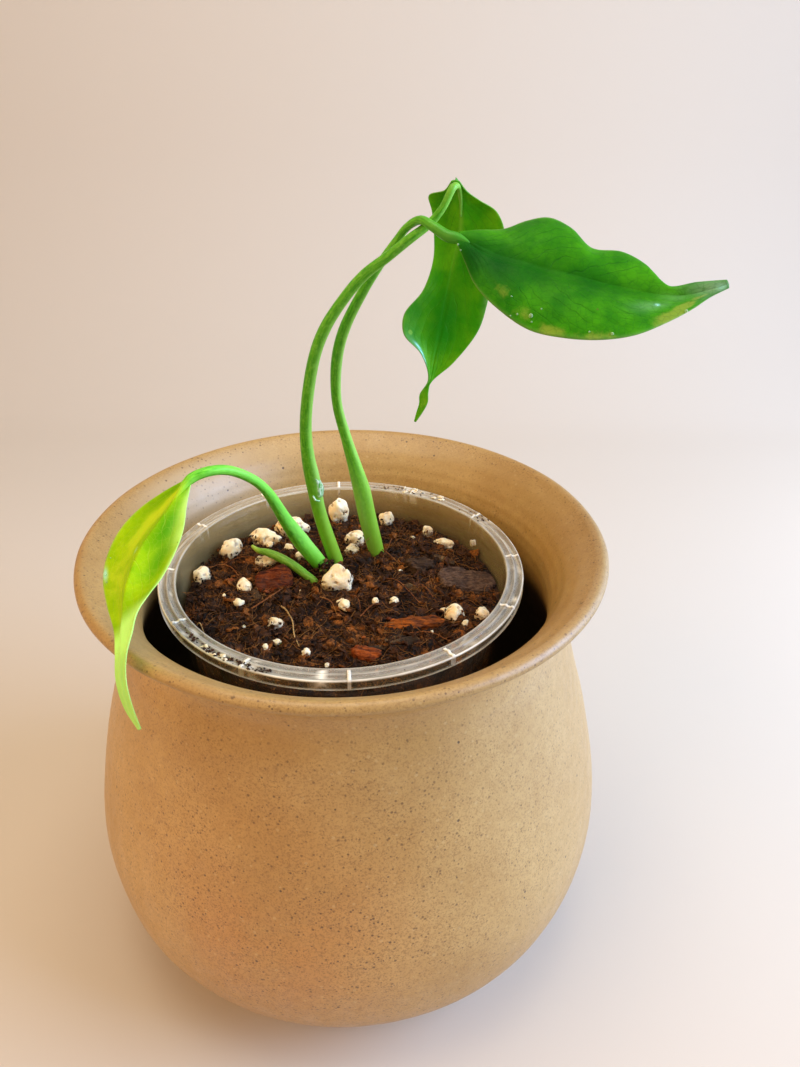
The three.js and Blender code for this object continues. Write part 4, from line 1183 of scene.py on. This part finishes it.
def splinters():
    wood = mix_finish("grey_wood", "#1d130b", "#59422a", "#86693f")
    bits = []
    for k, (x, y, length, turn) in enumerate(SPLINTERS):
        shape, sides = flake(k)
        turns = (0.3 * (-1) ** k, 0.06, math.radians(turn))
        shape = turned_to(shape * [length, length * 0.55, length * 0.3], turns, on_mix(x, y, 0.5))
        bits.append((shape, sides, 0.4 + 0.06 * k))
    gather("wood_splinters", bits, wood, True)


def long_hairs(name, lines, finish):
    """Long roots or hairs that lie across the mix, each as a bent tube."""
    bits = []
    for k, (route, thick, arch) in enumerate(lines):
        route = np.array(route, float)
        if route.shape[1] == 2:
            rise = 0.9 + arch * np.sin(math.pi * np.linspace(0, 1, len(route)))
            route = np.array([on_mix(x, y, lift) for (x, y), lift in zip(route, rise)])
        line = smooth_line(route, 40)
        line += 0.12 * np.stack([rough(line, 1.6, k + 1 + other) for other in (0, 10, 20)], -1)
        shape, sides, _ = tube(line, thick * np.linspace(1, 0.55, len(line)), 7)
        bits.append((shape, sides, 0.3 + 0.5 * (k % 2)))
    gather(name, bits, finish)


# Lumps that stand out of the mix

def finer_copy(node, levels):
    """Points, outward directions and faces of a CAD node's mesh, merged, rounded and cut finer."""
    shape = bmesh.new()
    shape.from_mesh(frame["nodes"][node].data)
    bmesh.ops.remove_doubles(shape, verts=shape.verts, dist=0.001 * MM)
    coarse = bpy.data.meshes.new(node + "_coarse")
    shape.to_mesh(coarse)
    shape.free()
    body = shown_object(coarse.name, coarse)
    body.modifiers.new("finer", "SUBSURF").levels = levels
    bpy.context.view_layer.update()
    mesh = bpy.data.meshes.new_from_object(body.evaluated_get(bpy.context.evaluated_depsgraph_get()))
    points = np.array([v.co for v in mesh.vertices]) / MM
    normals = np.array([v.normal for v in mesh.vertices])
    faces = [tuple(f.vertices) for f in mesh.polygons]
    bpy.data.objects.remove(body)
    bpy.data.meshes.remove(coarse)
    bpy.data.meshes.remove(mesh)
    low, high = node_box(node)
    least, most = points.min(0), points.max(0)
    return low + (points - least) / (most - least) * (high - low), normals, faces


def perlite_lumps(white):
    """The CAD's lumps with pits and grit, and crumbs of mix that stick to their lower sides, just above the
    mix.
    """
    draw = np.random.default_rng(33)
    stuck = []
    for i, node in enumerate(PERLITE_NODES):
        low, high = node_box(node)
        reach = (high - low).max()
        points, normals, faces = finer_copy(node, 3 if reach > BIG_LUMP else 2)
        lumps = rough(points, reach / 2.6, i + 2, 2)
        grit = rough(points, 0.9, i + 9, 2)
        pits = ease(0.24, 0.55, rough(points, 1.7, i + 30))
        out = lumps * reach * 0.035 - reach * 0.01 + grit * 0.06 - pits * 0.28
        points = points + normals * out[:, None]
        soiled = ease(MIX_TOP + 3, MIX_TOP + 0.8, points[:, 2])
        soiled = soiled * ease(-0.3, 0.5, rough(points, 1.3, i + 50, 2))
        stain = np.maximum(pits * 0.5, soiled * 0.85)
        make_piece("lump_of_" + node, points, faces, white, [node], {"pit": stain})
        waist = (points[:, 2].max() + MIX_TOP) / 2 + 0.5
        lower = np.flatnonzero((points[:, 2] < waist) & (points[:, 2] > MIX_TOP))
        stuck += [[*points[k], draw.uniform(0.4, 1.5)] for k in draw.choice(lower, int(reach * 3))]
    dirt = mix_finish("stuck_mix", "#1c0d06", "#57300f", "#8d4f1e")
    heap("crumbs_on_lumps", crumb, stuck, dirt, 9, (1, 0.8, 0.6))


def bark_pieces():
    skins = (
        bark_finish("red_bark", "#431606", "#8a4018"),
        bark_finish("slab_bark", "#3a2820", "#6c5240", 1.6),
        bark_finish("orange_splinter", "#421a08", "#b8601e"),
        bark_finish("rusty_bark", "#52200a", "#ac5420"),
        bark_finish("brown_bark", "#24150b", "#573e29"),
    )
    for i, (node, skin) in enumerate(zip(BARK_NODES, skins)):
        points, normals, faces = finer_copy(node, 3)
        fibres = rough(points * [0.35, 1.6, 1.6], 1.4, i + 4, 2)
        chips = np.abs(rough(points, 2.4, i + 14, 2))
        points = points + normals * (fibres * 0.4 - chips * 0.5 + 0.05)[:, None]
        make_piece("chip_of_" + node, points, faces, skin, [node])


# The plant

def stalk(node, finish, steps=150, into=()):
    """A leaf stalk or shoot along its route, with its sheath's wing, low ridges and an end inside a blade."""
    route = np.array([*STALKS[node], *into], float)
    dense = smooth_line(route[:, :3], 600)
    length = np.concatenate([[0], np.cumsum(np.linalg.norm(np.diff(dense, axis=0), axis=1))])
    even = np.linspace(0, 1, steps)
    spots = np.interp(even * length[-1], length, np.linspace(0, 1, 600))
    line = smooth_line(route[:, :3], spots)
    radii = np.interp(spots * (len(route) - 1), np.arange(len(route)), route[:, 3])
    lean = np.zeros((len(line), STALK_SIDES))

    def wing(out):
        nonlocal lean
        start, end, reach, side = SHEATHS[node]
        here = bell((even - (start + end) / 2) / ((end - start) / 2))[:, None]
        facing = np.maximum(0, out @ unit(np.array(side, float)))
        lean = here * facing ** 4
        return reach * here * facing ** 3

    points, faces, out = tube(line, radii, STALK_SIDES, wing if node in SHEATHS else None)
    turn = np.tile(around(STALK_SIDES), len(line))
    lengths = np.repeat(even * length[-1], STALK_SIDES)
    ridges = rough(np.column_stack([1.4 * np.cos(turn), 1.4 * np.sin(turn), lengths * 0.08]), 1, 6) * 0.06
    points[:-2] += out.reshape(-1, 3) * ridges[:, None]
    # Each fact ends with its values at the two end points
    facts = {
        "along": np.append(np.repeat(even, STALK_SIDES), [0, 1]),
        "sheath": np.append(lean.ravel(), [0, 0]) * 0.5,
        "turn_x": np.append(np.cos(turn), [0, 0]), "turn_y": np.append(np.sin(turn), [0, 0]),
        "length": np.append(lengths, [0, length[-1]]),
    }
    make_piece("stalk_" + node, points, faces, finish, [node], facts)


def torn_sheath():
    """The flap of torn sheath that stands off the middle stalk, glossy with water, with a pale collar below
    it.
    """
    f = Finish("torn_sheath_skin")
    # Pale patches: partly the flap's pale tissue, partly painted glints
    f.base(f.band(f.cloud(0.8, 4, stretch=(1, 1, 0.5)), 0.4, 0.62), "#5cb040", "#dcf5cc")
    skin = f.done(Roughness=0.2, Normal=f.bump(f.cloud(0.8, 3), 0.12), CoatWeight=1.0, CoatRoughness=0.06)
    inner, outer = (smooth_line(edge, 30) for edge in SHEATH_FLAP)
    share = np.linspace(0, 1, 9)[None, :, None]
    sheet = inner[:, None] + (outer - inner)[:, None] * share
    waves = rough(sheet.reshape(-1, 3), 1.6, 3).reshape(sheet.shape[:2])
    sheet[..., 1] -= 0.7 * np.sin(math.pi * share[..., 0]) + 0.2 * waves
    points, faces = closed_sheet(sheet, sheet + [0.05, 0.18, 0])
    make_piece("torn_sheath_flap", points, faces, skin)
    points, faces, _ = tube(smooth_line(SHEATH_COLLAR, 30), np.full(30, 0.34), 12)
    make_piece("torn_sheath_collar", points, faces, skin)


def leaf_sheet(node):
    """The middle of a blade as a grid of points, with the direction out of its face at each and its width."""
    stations = np.array(LEAVES[node], float)
    left, rib, right = (smooth_line(stations[:, k], BLADE_ROWS) for k in range(3))
    side = np.linspace(-1, 1, BLADE_COLUMNS)[None, :, None]
    lift = unit(np.cross(right - left, unit(np.gradient(rib, axis=0))))
    edge = np.where(side < 0, left[:, None], right[:, None]) - rib[:, None]
    width = np.linalg.norm(edge, axis=-1, keepdims=True)
    grid = rib[:, None] + edge * np.abs(side)
    grid = grid + lift[:, None] * BELLIES[node] * width * np.sin(math.pi * np.abs(side))
    normal = unit(np.cross(np.gradient(grid, axis=1), np.gradient(grid, axis=0)))
    return grid, normal, width[..., 0]


def blots(along, side, marks):
    """Soft blots on a blade: each mark has a place along, a side, a length, a width and a strength."""
    total = np.zeros(along.shape)
    for place, across, long, wide, strength in marks:
        total = np.maximum(total, strength * bell((along - place) / long) * bell((side - across) / wide))
    return total


def leaf(node, finish, marks, rib_at, quilting=0.1, rim=0.3, rib_shade=0.6, rib_reach=1.4,
         rib_width=0.05, groove=0.3):
    """A blade with its midrib, soft quilting between the side veins and a thin rounded margin."""
    grid, normal, width = leaf_sheet(node)
    face = FACES[node]
    along, side = np.meshgrid(np.linspace(0, 1, BLADE_ROWS), np.linspace(-1, 1, BLADE_COLUMNS), indexing="ij")
    rib = np.interp(along, *zip(*rib_at))
    share = (side - rib) / np.where(side > rib, 1 - rib, 1 + rib)
    count = QUILTS * (along - VEIN_SWEEP * np.abs(share) ** VEIN_CURVE)
    quilt = (np.abs(np.sin(math.pi * count)) ** 0.6 - 0.5) * np.sin(math.pi * np.abs(share))
    quilt = quilt * (ease(0.04, 0.2, along) * ease(1, 0.82, along)) * quilting * np.minimum(width / 8, 1)
    channel = -groove * bell(share / 0.05) * (1 - 0.6 * along)
    middle = grid + normal * (face * (quilt + channel))[..., None]
    half = BLADE_THICK / 2 * (1 - 0.55 * np.abs(side) ** 10)
    ridge = MIDRIB * (1 - along) * bell(share / 0.07)
    over = middle + normal * (half + (ridge if face < 0 else 0))[..., None]
    under = middle - normal * (half + (ridge if face > 0 else 0))[..., None]
    points, faces = closed_sheet(over, under)
    # Each fact has its values on both faces. The face that is turned away is all underside
    tints = {label: blots(along, side, marks.get(label, [])) for label in LEAF_TINTS}
    bare = tints.pop("under")
    if "tail" in marks:
        start, slope = marks["tail"]
        bare = np.maximum(bare, ease(-0.045, 0.045, along - start - slope * (0.53 - side)))
    facts = {
        "along": [along] * 2, "side": [share] * 2, **{label: [shown] * 2 for label, shown in tints.items()},
        "rib": [rib_shade * bell(share / rib_width) * ease(rib_reach, rib_reach * 0.2, along)] * 2,
        "rim": [rim * ease(0.955, 1.0, np.abs(side))] * 2,
        "under": [bare, np.ones(bare.shape)][::face],
    }
    facts = {label: np.concatenate([part.ravel() for part in parts]) for label, parts in facts.items()}
    make_piece("leaf_" + node, points, faces, finish, [node], facts)


def beads(name, node, places, finish):
    """Drops of water on a blade: how far along, which side, and the drop's size in millimetres."""
    grid, normal, _ = leaf_sheet(node)
    drops = []
    for place, across, size in places:
        i, j = round(place * (BLADE_ROWS - 1)), round((across + 1) * (BLADE_COLUMNS - 1) / 2)
        drops.append([*(grid[i, j] + normal[i, j] * FACES[node] * (0.2 + size * 0.12)), size])
    heap(name, drop, drops, finish, 3, flat=False)


def plant():
    green = stalk_finish("leaf_stalk", "#46981a", "#68b822", "#86b42a", "#aeec60", "#469422")
    paler = stalk_finish("middle_leaf_stalk", "#449616", "#64b220", "#86b42a", "#b2ee66", "#7cb63c")
    young = stalk_finish("young_leaf_stalk", "#4cb41e", "#80e03a", "#7acc30", "#98f860", "#b4d418")
    olive = stalk_finish("shoot_skin", "#5f9a24", "#86b840", "#6f8a34", "#93cc55", "#a4c64a")
    stub = bark_finish("crown_skin", "#3a3318", "#7d8a3c")
    stalk("petiole_left", young, into=INTO_LEFT)
    stalk("petiole_middle", paler, into=INTO_MIDDLE)
    stalk("petiole_right", green, into=INTO_RIGHT)
    stalk("young_shoot", olive, steps=70)
    stalk("crown", stub, steps=30)
    torn_sheath()
    lime = leaf_finish("young_leaf_skin", "#8cbc02", "#aace06", "#549c02", "#c2da24", "#cddc4a", "#c4ff7c",
                       lines=0.2, net=0.09, shine=0.12)
    mid = leaf_finish("middle_leaf_skin", "#3a9808", "#66b010", "#1a7606", "#8cc23a", "#3f8a10", "#5a9a3a",
                      net=0.16)
    full = leaf_finish("right_leaf_skin", "#267402", "#429204", "#064a06", "#8ca034", "#0d4c08", "#6aa63f",
                       veins=15, lines=0.45, net=0.22, gloss=0.42, shine=0.14)
    leaf("blade_left", lime, LEFT_MARKS, LEFT_RIB, quilting=0.06, rib_shade=0.35, rib_reach=1,
         rib_width=0.22, groove=0.12)
    leaf("blade_middle", mid, MIDDLE_MARKS, MIDDLE_RIB, rib_shade=0.7, rib_reach=0.5, rim=0.15)
    leaf("blade_right", full, RIGHT_MARKS, RIGHT_RIB, rib_shade=0.0, rim=0.2)
    water = water_finish()
    beads("drops_on_the_right_leaf", "blade_right", RIGHT_DROPS, water)
    beads("drops_on_the_left_leaf", "blade_left", LEFT_DROPS, water)


# The floor, the light and the camera

def stage():
    """A pale floor that sweeps up behind the pot."""
    f = Finish("pale_floor", tint("#d6cab8"))
    skin = f.done(Roughness=0.8, Normal=f.bump(f.cloud(30, 3), 0.1))
    line = smooth_line([[0, y, z] for y, z in SWEEP], 80)
    line[:, 2] = np.maximum(line[:, 2], 0) - 0.02
    points = np.vstack([line - [SWEEP_SIDE, 0, 0], line + [SWEEP_SIDE, 0, 0]]) * MM
    count = len(line)
    faces = [(i, count + i, count + i + 1, i + 1) for i in range(count - 1)]
    mesh = plain_mesh("floor_sweep", points, faces)
    mesh.polygons.foreach_set("use_smooth", [True] * len(faces))
    mesh.materials.append(skin)
    shown_object("floor_sweep", mesh)


def soft_light(name, place, aim, size, power, colour):
    lamp = bpy.data.lights.new(name, "AREA")
    lamp.shape = "RECTANGLE"
    lamp.size, lamp.size_y = size
    lamp.energy = power
    lamp.color = tint(colour)[:3]
    body = shown_object(name, lamp)
    body.location = place
    body.rotation_euler = (Vector(aim) - Vector(place)).to_track_quat("-Z", "Y").to_euler()


def lights():
    middle = (0, 0, 0.13)
    soft_light("window", (0.75, -0.1, 0.5), middle, (0.6, 0.6), 12, "#b8d2ff")
    soft_light("low_window", (0.5, 0.14, 0.17), (0.06, 0, 0.08), (0.4, 0.3), 0.7, "#cfe2ff")
    soft_light("room", (-0.6, -0.4, 0.55), middle, (0.8, 0.6), 3.8, "#ffc682")
    soft_light("ceiling", (-0.04, 0, 0.78), middle, (0.45, 0.45), 2.5, "#fff3e0")
    world = bpy.data.worlds.new("pale_room")
    world.use_nodes = True
    sky = world.node_tree.nodes["Background"]
    sky.inputs["Color"].default_value = tint("#eff0ec")
    sky.inputs["Strength"].default_value = 0.32
    bpy.context.scene.world = world


def camera():
    """Stands where the photo was taken from."""
    lens = bpy.data.cameras.new("camera")
    lens.sensor_width = SENSOR
    lens.lens = SENSOR * FOCAL_PIXELS / FRAME_PIXELS
    body = shown_object("camera", lens)
    pitch = Matrix.Rotation(math.radians(PITCH), 4, "X")
    roll = Matrix.Rotation(math.radians(ROLL), 4, "Z")
    body.matrix_world = Matrix.Translation(EYE) @ pitch @ roll
    bpy.context.scene.camera = body
    bpy.context.scene.view_settings.view_transform = "Standard"


def main():
    stage()
    lights()
    camera()
    stoneware_pot()
    clear_pot()
    mix_plug()
    mix_bits()
    white = perlite_finish()
    loose_bits(white)
    perlite_lumps(white)
    bark_pieces()
    plant()


main()
